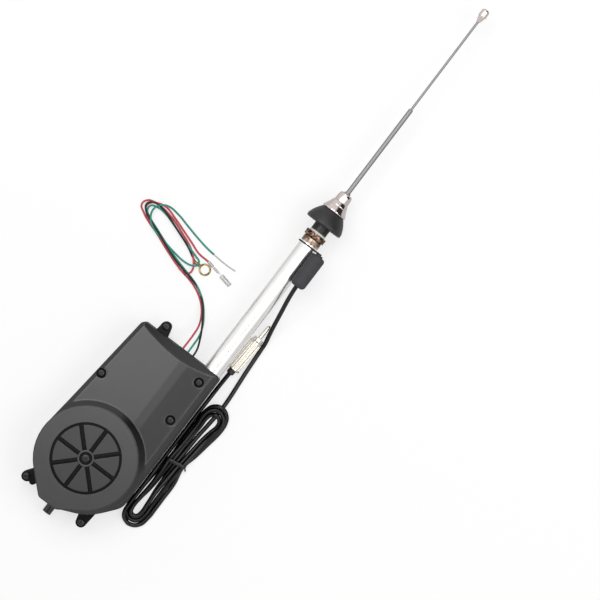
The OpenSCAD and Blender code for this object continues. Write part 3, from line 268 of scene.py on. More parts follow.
def polished_tube(name, colour, smooth, smeared):
    """Stainless tube, drawn and polished: bright, with hair-fine lines along it and faint
    smears from handling."""
    finish, tree, shader, place = new_finish(name, colour, 1.0)
    along = add_node(tree, "ShaderNodeMapping", [("Scale", (1, 0.02, 1))],
                     [("Vector", place)]).outputs[0]
    lines = add_node(tree, "ShaderNodeTexNoise", [("Scale", per(0.35)), ("Detail", 2.0)],
                     [("Vector", along)]).outputs["Fac"]
    smears = add_node(tree, "ShaderNodeTexNoise", [
        ("Scale", per(22)), ("Detail", 3.0), ("Distortion", 0.4),
    ], [("Vector", place)]).outputs["Fac"]
    uneven_colour(tree, shader, smears, mottled(colour, 0.95, 1.03))
    uneven_gloss(tree, shader, smears, smooth, smeared)
    relief(tree, shader, lines, 0.0025, strength=0.5)
    return finish


def chromed_brass(colour):
    """Brass, turned, polished and chromed: hard mirror with a warm cast where it is thin."""
    finish, tree, shader, place = new_finish("brass_turned_chromed", colour, 1.0)
    thin = add_node(tree, "ShaderNodeTexNoise", [("Scale", per(9)), ("Detail", 2.0)],
                    [("Vector", place)]).outputs["Fac"]
    uneven_colour(tree, shader, thin, mottled(colour, 0.93, 1.03))
    uneven_gloss(tree, shader, thin, 0.05, 0.14)
    dents = add_node(tree, "ShaderNodeTexNoise", [("Scale", per(3)), ("Detail", 2.0)],
                     [("Vector", place)]).outputs["Fac"]
    relief(tree, shader, dents, 0.012, edge_mm=0.25)
    return finish


def turned_brass(name, colour, tarnish_colour):
    """Brass, turned and left bare: it goes dull and brown in patches, over tool rings."""
    finish, tree, shader, place = new_finish(name, colour, 1.0)
    tarnish = add_node(tree, "ShaderNodeTexNoise", [
        ("Scale", per(5)), ("Detail", 4.0), ("Distortion", 0.5),
    ], [("Vector", place)]).outputs["Fac"]
    uneven_colour(tree, shader, tarnish, [(0.38, tarnish_colour), (0.6, colour)])
    uneven_gloss(tree, shader, tarnish, 0.46, 0.26)
    # Tool rings are 0.1 mm apart on the real one, and are drawn at 0.4 mm to show at all
    across = add_node(tree, "ShaderNodeMapping", [("Scale", (0.05, 1, 0.05))],
                      [("Vector", place)]).outputs[0]
    rings = add_node(tree, "ShaderNodeTexNoise", [("Scale", per(0.4)), ("Detail", 1.0)],
                     [("Vector", across)]).outputs["Fac"]
    relief(tree, shader, rings, 0.012, edge_mm=0.2)
    return finish


def coppered_steel(colour, dark, light):
    """Spring steel, stamped and copper flashed: brown-red, dark where it is scuffed and
    pinkish where it is bright."""
    finish, tree, shader, place = new_finish("spring_steel_copper_flashed", colour, 1.0)
    patches = add_node(tree, "ShaderNodeTexNoise", [
        ("Scale", per(2.4)), ("Detail", 4.0), ("Distortion", 0.6),
    ], [("Vector", place)]).outputs["Fac"]
    uneven_colour(tree, shader, patches, [(0.36, dark), (0.52, colour), (0.7, light)])
    uneven_gloss(tree, shader, patches, 0.46, 0.2)
    relief(tree, shader, patches, 0.03, edge_mm=0.2)
    return finish


def ground_steel(colour):
    """Steel, ground: grey and bright, with short scratches along it."""
    finish, tree, shader, place = new_finish("steel_ground", colour, 1.0)
    along = add_node(tree, "ShaderNodeMapping", [("Scale", (1, 0.15, 1))],
                     [("Vector", place)]).outputs[0]
    scratches = add_node(tree, "ShaderNodeTexNoise", [("Scale", per(0.6)), ("Detail", 3.0)],
                         [("Vector", along)]).outputs["Fac"]
    uneven_colour(tree, shader, scratches, mottled(colour, 0.9, 1.05))
    uneven_gloss(tree, shader, scratches, 0.22, 0.4)
    relief(tree, shader, scratches, 0.006, edge_mm=0.15)
    return finish


def moulded_rubber(name, colour, roughness, bloom):
    """EPDM rubber, moulded: dark, soft edged, with a pale bloom in patches."""
    finish, tree, shader, place = new_finish(name, colour, 0.0)
    patches = add_node(tree, "ShaderNodeTexNoise", [
        ("Scale", per(7)), ("Detail", 4.0), ("Distortion", 0.3),
    ], [("Vector", place)]).outputs["Fac"]
    uneven_colour(tree, shader, patches, [(0.35, colour), (0.72, bloom)])
    uneven_gloss(tree, shader, patches, roughness - 0.04, roughness + 0.06)
    skin = add_node(tree, "ShaderNodeTexNoise", [("Scale", per(0.45)), ("Detail", 4.0)],
                    [("Vector", place)]).outputs["Fac"]
    relief(tree, shader, skin, 0.02, edge_mm=0.5)
    return finish


def extruded_vinyl(name, colour, roughness, ripple_mm):
    """Soft PVC, extruded over its strands: glossy, with a slow ripple along the cord."""
    finish, tree, shader, place = new_finish(
        name, colour, 0.0, Roughness=roughness, Specular_IOR_Level=0.34, Coat_Weight=0.05,
        Coat_Roughness=0.08)
    tone = add_node(tree, "ShaderNodeTexNoise", [("Scale", per(12)), ("Detail", 3.0)],
                    [("Vector", place)]).outputs["Fac"]
    uneven_colour(tree, shader, tone, mottled(colour, 0.9, 1.12))
    ripple = add_node(tree, "ShaderNodeTexNoise", [("Scale", per(ripple_mm)), ("Detail", 2.0)],
                      [("Vector", place)]).outputs["Fac"]
    relief(tree, shader, ripple, 0.02)
    return finish


def nickel_plate(colour):
    """Brass, rolled and nickel plated: warm silver, a little cloudy."""
    finish, tree, shader, place = new_finish("brass_rolled_nickelled", colour, 1.0)
    cloud = add_node(tree, "ShaderNodeTexNoise", [("Scale", per(5)), ("Detail", 3.0)],
                     [("Vector", place)]).outputs["Fac"]
    uneven_colour(tree, shader, cloud, mottled(colour, 0.82, 1.05))
    uneven_gloss(tree, shader, cloud, 0.14, 0.28)
    relief(tree, shader, cloud, 0.01, edge_mm=0.15)
    return finish


def tinned_copper(colour):
    """Copper, tinned: soft grey-white metal, dulled by flux in spots."""
    finish, tree, shader, place = new_finish("copper_tinned", colour, 1.0)
    flux = add_node(tree, "ShaderNodeTexNoise", [("Scale", per(1.5)), ("Detail", 3.0)],
                    [("Vector", place)]).outputs["Fac"]
    uneven_colour(tree, shader, flux, mottled(colour, 0.6, 1.05))
    uneven_gloss(tree, shader, flux, 0.42, 0.24)
    relief(tree, shader, flux, 0.02)
    return finish


def glass_epoxy_board(colour):
    """Glass-epoxy laminate with green resist, and the weave just showing through."""
    finish, tree, shader, place = new_finish(
        "glass_epoxy_green_resist", colour, 0.0, Roughness=0.3, Coat_Weight=0.4)
    weave = add_node(tree, "ShaderNodeTexNoise", [("Scale", per(0.8)), ("Detail", 1.0)],
                     [("Vector", place)]).outputs["Fac"]
    uneven_colour(tree, shader, weave, mottled(colour, 0.85, 1.15))
    relief(tree, shader, weave, 0.02)
    return finish


def sintered_ferrite(colour):
    """Ferrite, pressed and sintered: dark grey and stony."""
    finish, tree, shader, place = new_finish("ferrite_sintered", colour, 0.1, Roughness=0.6)
    grains = add_node(tree, "ShaderNodeTexNoise", [("Scale", per(0.8)), ("Detail", 5.0)],
                      [("Vector", place)]).outputs["Fac"]
    uneven_colour(tree, shader, grains, mottled(colour, 0.75, 1.3))
    relief(tree, shader, grains, 0.03)
    return finish


def enamelled_winding(colour):
    """Copper wire, enamelled and wound: warm brown lines side by side, 0.4 mm each."""
    finish, tree, shader, place = new_finish("copper_wire_enamelled", colour, 0.85,
                                             Roughness=0.3)
    turns = add_node(tree, "ShaderNodeTexWave", [
        ("wave_type", "BANDS"), ("bands_direction", "X"), ("Scale", per(0.4) / (2 * math.pi)),
        ("Distortion", 1.0),
    ], [("Vector", place)]).outputs["Fac"]
    uneven_colour(tree, shader, turns, [(0.1, shade(colour, 0.4)), (0.6, colour)])
    relief(tree, shader, turns, 0.1)
    return finish


# Shared building

made_finishes = {}


def shared_finish(maker, code):
    """Make a finish once for a hex colour, and hand the same one out again."""
    key = (maker.__name__, code)
    if key not in made_finishes:
        made_finishes[key] = maker(linear(code))
    return made_finishes[key]


def dress(finish, *nodes):
    """Give CAD nodes a finish, in every material slot that they have."""
    for name in nodes:
        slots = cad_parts[name].data.materials
        if not slots:
            slots.append(finish)
        for i in range(len(slots)):
            slots[i] = finish


def add_piece(name, data, finish):
    """Put a mesh or curve into the scene as a piece that rides on the housing."""
    piece = bpy.data.objects.new(name, data)
    bpy.context.scene.collection.objects.link(piece)
    data.materials.append(finish)
    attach(piece, HOUSING)
    return piece


def add_cord(name, route, diameter, finish):
    """A round cord of a diameter in metres, on one smooth open spline through its route,
    which is given in millimetres."""
    curve = bpy.data.curves.new(name, "CURVE")
    curve.dimensions = "3D"
    curve.bevel_depth = diameter / 2
    curve.bevel_resolution = 4
    curve.resolution_u = 8
    curve.use_fill_caps = True
    spline = curve.splines.new("BEZIER")
    spline.bezier_points.add(len(route) - 1)
    for point, place in zip(spline.bezier_points, route):
        point.co = Vector(place) * MM
        point.handle_left_type = point.handle_right_type = "AUTO"
    return add_piece(name, curve, finish)


def skin(shape, rings):
    """Join each ring of points to the next one with faces, and give these back."""
    faces = []
    for here, there in zip(rings, rings[1:]):
        for k in range(len(here)):
            after = (k + 1) % len(here)
            faces.append(shape.faces.new((here[k], here[after], there[after], there[k])))
    return faces


def add_band(shape, path, across, width, thickness):
    """A flat closed band with rounded edges round a path of points, in millimetres."""
    # Outline of the band's cut, in shares of its width and thickness
    cut = [(-0.5, 0), (-0.36, 0.5), (0.36, 0.5), (0.5, 0), (0.36, -0.5), (-0.36, -0.5)]
    across = Vector(across)
    rings = []
    for i, place in enumerate(path):
        ahead = Vector(path[(i + 1) % len(path)]) - Vector(path[i - 1])
        out = ahead.cross(across).normalized()
        rings.append([
            shape.verts.new((Vector(place) + across * (width * a) + out * (thickness * b)) * MM)
            for a, b in cut
        ])
    for face in skin(shape, rings + rings[:1]):
        face.smooth = True


# Cord routes, each point in millimetres

# Coax: from the boot down to the surface and beside the plug, then four times down and
# three times up through the hank, each fold outside or over the last, and up to the plug
COAX_ROUTE = [
    (13.4, -56.6, 8.6), (13.8, -62, 7.6), (14.8, -71, 3.8), (16.2, -80, -1.6), (17.6, -89, -7.6),
    (19, -98, -13), (20.4, -105.5, -17.2), (21.9, -113, -21), (22.5, -122, -21.9),
    (23.2, -134, -21.9), (24, -146, -21.9), (25, -158, -21.9), (26, -170, -21.9),
    (26.4, -180.2, -21.9), (26.1, -190, -21.9), (25.3, -202, -21.9), (24.2, -214, -21.9),
    (23.5, -230, -21.7), (22.9, -245.5, -21.4), (22.9, -262, -21.8), (23.4, -276, -21.9),
    (24.6, -288, -21.9), (24.9, -301, -21.9), (23.6, -304.2, -21.9), (20.4, -305.6, -21.9),
    (17.1, -304.2, -21.9), (15.8, -301, -21.9), (16.2, -290, -21.9), (17.9, -278, -21.9),
    (18.9, -262, -21.3), (19.4, -245.5, -19.7), (19.6, -230, -21.2), (20, -214, -21.9),
    (20.3, -206, -21.5), (20.5, -197, -20.6), (22.3, -192.4, -19.3), (26.6, -190.5, -17.8),
    (30.9, -192.4, -19.3), (32.7, -197, -20.7), (31, -206, -21.6), (29.5, -214, -21.9),
    (27.8, -230, -21.2), (26.4, -245.5, -19.6), (25.2, -262, -18.3), (24.4, -277, -17.9),
    (24.9, -290, -17.9), (25, -301, -17.9), (23.7, -304.2, -17.9), (20.5, -305.6, -17.9),
    (17.3, -304.2, -17.9), (16, -301, -17.9), (16, -290, -17.9), (16.9, -277, -17.9),
    (17, -262, -17.5), (16.2, -245.5, -17.4), (17.3, -230, -18), (17.6, -214, -18.2),
    (17.5, -206, -18), (16.9, -198, -17.5), (19.6, -189.6, -17.4), (26.6, -186.3, -17.8),
    (33.6, -189.6, -17.4), (35.8, -198, -17.7), (34.1, -206, -18.3), (32.5, -214, -19),
    (30.9, -230, -18.4), (29.7, -245.5, -17.4), (29, -262, -20), (28.7, -278, -21.4),
    (28.9, -290, -21.9), (28.9, -301, -21.9), (26.4, -307.1, -21.9), (20.3, -309.7, -21.9),
    (14.3, -307.1, -21.9), (11.8, -301, -21.9), (11.8, -288, -21.9), (12.3, -274, -21.9),
    (13.6, -260, -21.9), (15.8, -245.5, -21.4), (15.7, -230, -21.8), (15.7, -214, -21.8),
    (15.75, -206, -21.7), (15.75, -197, -21.4), (16.6, -191, -20.7), (19.2, -185.6, -19.2),
    (26.5, -182.2, -17.8), (33.8, -185.6, -19.2), (36.8, -191.3, -21), (37.6, -198, -21.7),
    (37, -206, -21.9), (35.7, -214, -21.9), (33.1, -230, -21.9), (30, -245.5, -21.4),
    (32.6, -262, -21.9), (32.7, -278, -21.9), (32.8, -290, -21.8), (32.6, -299, -21.8),
    (29.7, -309.5, -21.9), (22.2, -314, -21.9), (18.4, -313.3, -21.1), (14.9, -311.2, -19.2),
    (12.5, -306.8, -18.1), (11.9, -300, -17.9), (11.8, -288, -17.9), (11.8, -274, -17.9),
    (11.75, -262, -18.3), (11.75, -254, -19.8), (11.75, -245.5, -21.5), (11.75, -230, -21.9),
    (11.8, -214, -21.9), (11.8, -198, -21.9), (12, -184, -21.9), (12.1, -172, -21.9),
    (12.4, -161, -19.6), (12.7, -154, -18),
]

# Wires: from their grommets down to the surface, then round the loop, red and green twice
# and black once, and out to their ends
RED_ROUTE = [
    (-33, -161.8, -0.8), (-33, -158.8, -0.8), (-33, -154, -1.6), (-33.2, -145.2, -7.5),
    (-34.3, -136.4, -13.5), (-37.8, -128.5, -18.6), (-43.1, -121.4, -22), (-49.3, -116.2, -23),
    (-56.3, -112.2, -23), (-65.1, -109.1, -23), (-73.9, -107.4, -23), (-82.7, -105.2, -23),
    (-91.5, -102.3, -23), (-100.3, -99.1, -23), (-113.5, -93.8, -23), (-126.7, -89.4, -23),
    (-134.6, -85.7, -23), (-140.3, -81, -23), (-138.5, -75.3, -23), (-132.9, -72.7, -23),
    (-125, -72.3, -23), (-116.2, -73.4, -23), (-105.6, -76.2, -23), (-94.2, -80.6, -23),
    (-84.5, -84.5, -23), (-77.4, -89.2, -22.6), (-72.2, -94.5, -21.4), (-69.1, -100, -21.3),
    (-69.9, -104.9, -21.3), (-75.7, -106.8, -21.3), (-84.5, -104.2, -21.3), (-96.8, -99.8, -21.3),
    (-110.9, -94.2, -21.3), (-123.2, -89.6, -21.3), (-132, -84.8, -21.3), (-135.9, -79.7, -21.3),
    (-134.1, -74.6, -21.3), (-128.5, -71.3, -21.3), (-120.6, -70, -21.3), (-109.1, -73, -21.3),
    (-95.9, -77.4, -21.5), (-82.7, -82, -22.4), (-73.9, -85.2, -23), (-62, -86, -22.9),
]
GREEN_ROUTE = [
    (-27.6, -161.8, -0.8), (-27.6, -158.8, -0.8), (-27.7, -152.2, -1.8), (-28.5, -142.6, -8),
    (-31.7, -133.8, -14), (-37, -125.8, -18.8), (-43.1, -118.8, -21.6), (-50.2, -113.1, -21.3),
    (-58.1, -108.9, -21.3), (-66.9, -106.1, -21.3), (-77.4, -103.5, -21.3), (-89.8, -100, -21.4),
    (-103.8, -95, -21.4), (-116.2, -90.3, -21.4), (-126.7, -86.2, -21.4), (-132.9, -82.2, -21.4),
    (-133.2, -77.4, -21.4), (-128.5, -75, -21.4), (-119.7, -74.8, -21.4), (-107.4, -78.1, -21.4),
    (-95, -82.4, -21.4), (-82.7, -86.2, -21.4), (-73.9, -88.9, -20.6), (-68.6, -91.2, -20.4),
    (-68.1, -94.5, -20.6), (-71.3, -97.3, -21), (-79.2, -98.9, -22.4), (-91.5, -97.7, -23),
    (-104.7, -95.2, -22.6), (-113.5, -93.5, -20.2), (-121.4, -90.3, -19.6),
    (-126.7, -85.5, -19.6), (-129, -80.1, -19.6), (-128.3, -74.8, -19.6), (-125.3, -70.9, -20.2),
    (-119.7, -68.1, -22.2), (-109.1, -68.6, -23), (-95.9, -71.7, -23), (-82.7, -74.8, -23),
    (-71.3, -77, -23), (-62, -78, -23),
]
BLACK_ROUTE = [
    (-22, -161.8, -0.8), (-22, -158.8, -0.8), (-22.5, -154, -1.4), (-25.9, -145.2, -5),
    (-30.4, -136.8, -9.2), (-35.6, -129, -14), (-41, -121.8, -18.4), (-47.5, -115.3, -21.2),
    (-55.4, -110.4, -21.6), (-65.1, -107.2, -19.6), (-75.7, -104.9, -19.6),
    (-87.1, -102.1, -19.6), (-100.3, -97.3, -19.7), (-113.5, -92, -19.7), (-125, -87.5, -19.7),
    (-133.8, -83.1, -19.8), (-136.8, -78, -19.8), (-132.4, -73.4, -19.8), (-124.1, -72.7, -19.8),
    (-114.4, -75.3, -19.8), (-102.1, -79.6, -19.8), (-91.5, -83.6, -20), (-82.7, -87.3, -21.6),
    (-76.8, -90.6, -22.6), (-70.5, -93.6, -22.5),
]


# The user's settings

class AerialSizes(bpy.types.PropertyGroup):
    """Sizes that shape what the scene adds."""
    coax_diameter: bpy.props.FloatProperty(
        name="Coax", description="Diameter of the coax",
        default=4.0 * MM, min=3 * MM, max=6 * MM, unit="LENGTH")
    wire_diameter: bpy.props.FloatProperty(
        name="Wire", description="Diameter of each wire",
        default=1.8 * MM, min=1 * MM, max=3 * MM, unit="LENGTH")
    view_width: bpy.props.FloatProperty(
        name="View width", description="Width of the surface that the camera sees",
        default=0.528, unit="LENGTH", min=0.1)
    camera_height: bpy.props.FloatProperty(
        name="Camera height", description="Height of the camera above the mast's axis",
        default=2.4, unit="LENGTH", min=0.5)
    camera_turn: bpy.props.FloatProperty(
        name="Camera turn", description="How far the camera is turned about the vertical",
        default=math.radians(37.2), subtype="ANGLE")


class AerialColours(bpy.types.PropertyGroup):
    """Colours of the pieces."""
    case: bpy.props.FloatVectorProperty(
        name="Case", description="Moulded housing", subtype="COLOR", size=3,
        default=linear("#383739"))
    # Painted shade: the darker colour given to the housing's slopes, groove floors and rib tops
    case_painted_shade: bpy.props.FloatVectorProperty(
        name="Case slopes", description="Polished slopes of the moulded housing", subtype="COLOR",
        size=3, default=linear("#131314"))
    rubber: bpy.props.FloatVectorProperty(
        name="Pad", description="Rubber wing pad", subtype="COLOR", size=3,
        default=linear("#232324"))
    boot: bpy.props.FloatVectorProperty(
        name="Boot", description="Rubber boot of the coax", subtype="COLOR", size=3,
        default=linear("#3c3b3e"))
    coax: bpy.props.FloatVectorProperty(
        name="Coax", description="Vinyl sheath of the coax", subtype="COLOR", size=3,
        default=linear("#0d0d0e"))
    red: bpy.props.FloatVectorProperty(
        name="Red wire", description="Vinyl of the red wire", subtype="COLOR", size=3,
        default=linear("#d34c58"))
    green: bpy.props.FloatVectorProperty(
        name="Green wire", description="Vinyl of the green wire", subtype="COLOR", size=3,
        default=linear("#2d9c89"))
    bright: bpy.props.FloatVectorProperty(
        name="Base tube", description="Polished base tube", subtype="COLOR", size=3,
        default=linear("#f4f4f3"))
    rod: bpy.props.FloatVectorProperty(
        name="Mast rods", description="Polished sections of the mast", subtype="COLOR", size=3,
        default=linear("#8f8f90"))
    chrome: bpy.props.FloatVectorProperty(
        name="Chrome", description="Chromed cone, nut and tip button", subtype="COLOR", size=3,
        default=linear("#d4cac7"))


def colours():
    """The colours that are set in the open scene."""
    return bpy.context.scene.aerial_colours


def sizes():
    """The sizes that are set in the open scene."""
    return bpy.context.scene.aerial_sizes


# Operators

class AERIAL_OT_stage(bpy.types.Operator):
    """Set the camera straight above, with a pale floor and plain soft light"""
    bl_idname = "aerial.stage"
    bl_label = "Stage"

    def execute(self, context):
        scene = context.scene
        scene.view_settings.view_transform = "Standard"
        self.add_camera(scene)
        self.add_floor(scene)
        self.add_world(scene)
        # Two softboxes hang side by side with a gap where the camera looks through: the left
        # one's edge is just beside the camera, so that level faces shine in it
        self.add_softbox(scene, "left_softbox", (-0.94, 0.7, 2.7), 38)
        self.add_softbox(scene, "right_softbox", (1.72, 0.7, 2.7), 30)
        return {"FINISHED"}

    def add_camera(self, scene):
        """Camera over the middle of the picture, which sees the chosen width of the floor."""
        chosen = sizes()
        middle = Vector((23.2, -63.9, 0)) * MM
        lens = bpy.data.cameras.new("camera")
        lens.sensor_width = 36
        lens.lens = lens.sensor_width * chosen.camera_height / chosen.view_width
        lens.clip_end = 20
        camera = bpy.data.objects.new("camera", lens)
        camera.location = middle + Vector((0, 0, chosen.camera_height))
        camera.rotation_euler = (0, 0, chosen.camera_turn)
        scene.collection.objects.link(camera)
        scene.camera = camera

    def add_softbox(self, scene, name, place, watts):
        """A softbox of 2.0 by 2.4 m that points straight down."""
        lamp = bpy.data.lights.new(name, "AREA")
        lamp.shape = "RECTANGLE"
        lamp.size, lamp.size_y = 2.0, 2.4
        lamp.energy = watts
        holder = bpy.data.objects.new(name, lamp)
        holder.location = place
        scene.collection.objects.link(holder)

    def add_floor(self, scene):
        """Pale sheet: its light level is mostly its own to the camera and to mirrors, so that
        it stays near white and still takes a soft shadow."""
        half = 4.0
        # A hair lower than the case, so that the two don't lie in one plane
        z = FLOOR_Z - 0.05 * MM
        mesh = bpy.data.meshes.new("floor")
        mesh.from_pydata([(-half, -half, z), (half, -half, z), (half, half, z), (-half, half, z)],
                         [], [(0, 1, 2, 3)])
        floor = bpy.data.objects.new("floor", mesh)
        scene.collection.objects.link(floor)
        paper = bpy.data.materials.new("paper_coated_white")
        paper.use_nodes = True
        tree = paper.node_tree
        tree.nodes.clear()
        ray = add_node(tree, "ShaderNodeLightPath").outputs
        # Mirrors see the sheet half lit, as a sheet that lies in the object's own shade
        mirrored = add_node(tree, "ShaderNodeMath", [("operation", "MULTIPLY"), (1, 0.5)],
                            [(0, ray["Is Glossy Ray"])]).outputs[0]
        seen = add_node(tree, "ShaderNodeMath", [("operation", "MAXIMUM")],
                        [(0, ray["Is Camera Ray"]), (1, mirrored)]).outputs[0]
        seen = add_node(tree, "ShaderNodeMath", [("operation", "MAXIMUM")],
                        [(0, seen), (1, ray["Is Transmission Ray"])]).outputs[0]
        lit = add_node(tree, "ShaderNodeBsdfDiffuse", [("Color", (0.42, 0.42, 0.42, 1))])
        own = add_node(tree, "ShaderNodeEmission", [("Color", (1, 1, 1, 1)), ("Strength", 0.66)])
        both = add_node(tree, "ShaderNodeAddShader",
                        links=[(0, lit.outputs[0]), (1, own.outputs[0])])
        plain = add_node(tree, "ShaderNodeBsdfDiffuse", [("Color", (0.6, 0.6, 0.6, 1))])
        mixed = add_node(tree, "ShaderNodeMixShader",
                         links=[("Fac", seen), (1, plain.outputs[0]), (2, both.outputs[0])])
        add_node(tree, "ShaderNodeOutputMaterial", links=[("Surface", mixed.outputs[0])])
        mesh.materials.append(paper)

    def add_world(self, scene):
        """White to the camera, dim to the surfaces it lights, and a pale room to mirrors."""
        world = bpy.data.worlds.new("studio")
        scene.world = world
        world.use_nodes = True
        tree = world.node_tree
        tree.nodes.clear()
        ray = add_node(tree, "ShaderNodeLightPath").outputs
        seen = add_node(tree, "ShaderNodeMath", [("operation", "MAXIMUM")],
                        [(0, ray["Is Camera Ray"]), (1, ray["Is Transmission Ray"])])
        soft = add_node(tree, "ShaderNodeBackground",
                        [("Color", (1, 1, 1, 1)), ("Strength", 0.3)])
        white = add_node(tree, "ShaderNodeBackground",
                         [("Color", (1, 1, 1, 1)), ("Strength", 1.0)])
        # The room is a little darker at the side towards +X
        way = add_node(tree, "ShaderNodeTexCoord").outputs["Generated"]
        side = add_node(tree, "ShaderNodeSeparateXYZ", links=[("Vector", way)]).outputs["X"]
        tone = add_node(tree, "ShaderNodeMapRange", [
            ("From Min", 0.75), ("From Max", 1.0), ("To Min", 1.0), ("To Max", 0.68),
        ], [("Value", side)]).outputs["Result"]
        # It is dim above the camera, between the softboxes, and has a dark doorway to the
        # picture's right: each with its way, its outer and inner half angle in degrees, and
        # its tone
        for middle, outer, inner, dim in (((0.12, 0.0, 0.993), 30, 16, 0.25),
                                          ((0.6, 0.76, 0.24), 40, 27, 0.04)):
            near = add_node(tree, "ShaderNodeVectorMath", [
                ("operation", "DOT_PRODUCT"), (1, middle),
            ], [(0, way)]).outputs["Value"]
            fall = add_node(tree, "ShaderNodeMapRange", [
                ("From Min", math.cos(math.radians(outer))),
                ("From Max", math.cos(math.radians(inner))), ("To Min", 1.0), ("To Max", dim),
            ], [("Value", near)]).outputs["Result"]
            tone = add_node(tree, "ShaderNodeMath", [("operation", "MULTIPLY")],
                            [(0, tone), (1, fall)]).outputs[0]
        room = add_node(tree, "ShaderNodeBackground", [("Color", (1.0, 0.98, 0.97, 1))],
                        [("Strength", tone)])
        first = add_node(tree, "ShaderNodeMixShader", links=[
            ("Fac", ray["Is Glossy Ray"]), (1, soft.outputs[0]), (2, room.outputs[0])])
        last = add_node(tree, "ShaderNodeMixShader", links=[
            ("Fac", seen.outputs[0]), (1, first.outputs[0]), (2, white.outputs[0])])
        add_node(tree, "ShaderNodeOutputWorld", links=[("Surface", last.outputs[0])])


class AERIAL_OT_coax(bpy.types.Operator):
    """Lay the coax from its boot through the tied hank to its plug"""
    bl_idname = "aerial.coax"
    bl_label = "Coax and tie"

    def execute(self, context):
        vinyl = extruded_vinyl("pvc_extruded_black", colours().coax, 0.2, 5)
        coax = add_cord("coax", COAX_ROUTE, sizes().coax_diameter, vinyl)
        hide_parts("coax_lead", "coax_hank", "coax_tail")
        tie = self.add_tie()
        return {"FINISHED"}

    def add_tie(self):
        """Flat tie pulled round the seven strands, with its short twisted end."""
        # The tie crosses the hank at this height of it, a little aslant from its middle
        y, middle_x, slant = -245.5, 22.6, 0.165
        # Round the strands, each (x, z)
        outline = [
            (13.5, -21.6), (13.5, -19.4), (13.8, -17.1), (14.7, -15.6), (16.2, -15.1),
            (19.4, -15.1), (22.9, -15.1), (26.4, -15.1), (29.7, -15.1), (31.3, -15.7),
            (32.1, -17.4), (32.3, -19.4), (32.2, -21.6), (31.4, -23.2), (29.6, -23.65),
            (26, -23.65), (22.5, -23.65), (19, -23.65), (15.9, -23.65), (14.2, -23),
        ]
        shape = bmesh.new()
        add_band(shape, [(x, y + (x - middle_x) * slant, z) for x, z in outline], (0, 1, 0),
                 width=3.2, thickness=0.5)
        # The end is twisted twice and lies to the side: each ring of its four corners, at two
        # half widths, stands a step on from the last and is turned a little more
        start, step, twist = (31.6, y + 1.2, -18.4), (0.32, -0.3, -0.3), 0.9
        rings = []
        for i in range(9):
            centre = Vector([a + i * b for a, b in zip(start, step)])
            rings.append([
                shape.verts.new((centre + Vector((
                    0, math.cos(i * twist + k * math.pi / 2) * half,
                    math.sin(i * twist + k * math.pi / 2) * half))) * MM)
                for k, half in enumerate((1.3, 0.6, 1.3, 0.6))
            ])
        skin(shape, rings)
        shape.faces.new(rings[0][::-1])
        shape.faces.new(rings[-1])
        bmesh.ops.recalc_face_normals(shape, faces=shape.faces)
        mesh = bpy.data.meshes.new("hank_tie")
        shape.to_mesh(mesh)
        shape.free()
        tie = add_piece("hank_tie", mesh, shared_finish(moulded_black_plastic, BLACK_PLASTIC))
        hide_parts("cable_tie")
        return tie


class AERIAL_OT_wires(bpy.types.Operator):
    """Lay the red, green and black wires in their loop, with their ends"""
    bl_idname = "aerial.wires"
    bl_label = "Wires"

    def execute(self, context):
        diameter = sizes().wire_diameter
        red_vinyl = extruded_vinyl("pvc_extruded_red", colours().red, 0.34, 6)
        green_vinyl = extruded_vinyl("pvc_extruded_green", colours().green, 0.34, 6)
        black_vinyl = extruded_vinyl("pvc_extruded_black_wire", linear(BLACK_PLASTIC), 0.3, 6)
        # Each with its route, finish, kind of end, the CAD node at that end, and the CAD
        # nodes that it stands for
        wires = (
            ("red", RED_ROUTE, red_vinyl, "connector", "red_terminal",
             ("wire_red_lead", "wire_bundle", "wire_loop", "wire_red_tail")),
            ("green", GREEN_ROUTE, green_vinyl, "bare", "green_bare_end",
             ("wire_green_lead", "wire_green_tail")),
            ("black", BLACK_ROUTE, black_vinyl, "connector", "ring_terminal",
             ("wire_black_lead",)),
        )
        for colour, route, vinyl, end, end_piece, solids in wires:
            wire = add_cord(colour + "_wire", route, diameter, vinyl)
            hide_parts(*solids)
        dress(tinned_copper(linear("#c9c9c8")), "green_bare_end", "red_terminal")
        dress(turned_brass("brass_stamped", linear("#978458"), linear("#5f5132")),
              "ring_terminal")
        return {"FINISHED"}


class AERIAL_OT_housing(bpy.types.Operator):
    """Finish the moulded housing and its drum cover"""
    bl_idname = "aerial.housing"
    bl_label = "Housing"

    def execute(self, context):
        case, slope = colours().case, colours().case_painted_shade
        # Flats below 12.9 mm, the screw recesses' floors and the lugs' tops, take the painted
        # shade;
        # every flat of the front above them keeps the case's colour
        face = [(12.9, 0.0), (13.1, 1.0)]
        # On the cover the sectors mostly and the rim fully keep the case's colour, while the
        # grooves' floors and the ribs' tops take the painted shade
        wheel = [(22.3, 0.0), (22.5, 0.8), (23.1, 0.8), (23.2, 0.0), (23.55, 0.0), (23.65, 1.0)]
        dress(moulded_case_nylon("nylon_moulded_face", case, slope, face, 2.4), "front_case",
              "rear_case")
        dress(moulded_case_nylon("nylon_moulded_cover", case, slope, wheel, 0.6), "drum_cover")
        return {"FINISHED"}


class AERIAL_OT_screws(bpy.types.Operator):
    """Finish the case screws, the cover screw and the wire grommets"""
    bl_idname = "aerial.screws"
    bl_label = "Screws and grommets"

    def execute(self, context):
        dress(shared_finish(blackened_steel, BLACKENED_STEEL), "case_screws", "cover_screw")
        dress(shared_finish(moulded_black_plastic, BLACK_PLASTIC), "wire_grommets")
        return {"FINISHED"}


class AERIAL_OT_tubes(bpy.types.Operator):
    """Polish the base tube, the mast's sections and its tip"""
    bl_idname = "aerial.tubes"
    bl_label = "Tubes and mast"

    def execute(self, context):
        dress(polished_tube("stainless_drawn_polished", colours().bright, 0.24, 0.32),
              "base_tube")
        dress(polished_tube("stainless_drawn_bright", colours().rod, 0.42, 0.52),
              "mast_section_1", "mast_section_2", "mast_section_3", "tip_rod")
        return {"FINISHED"}


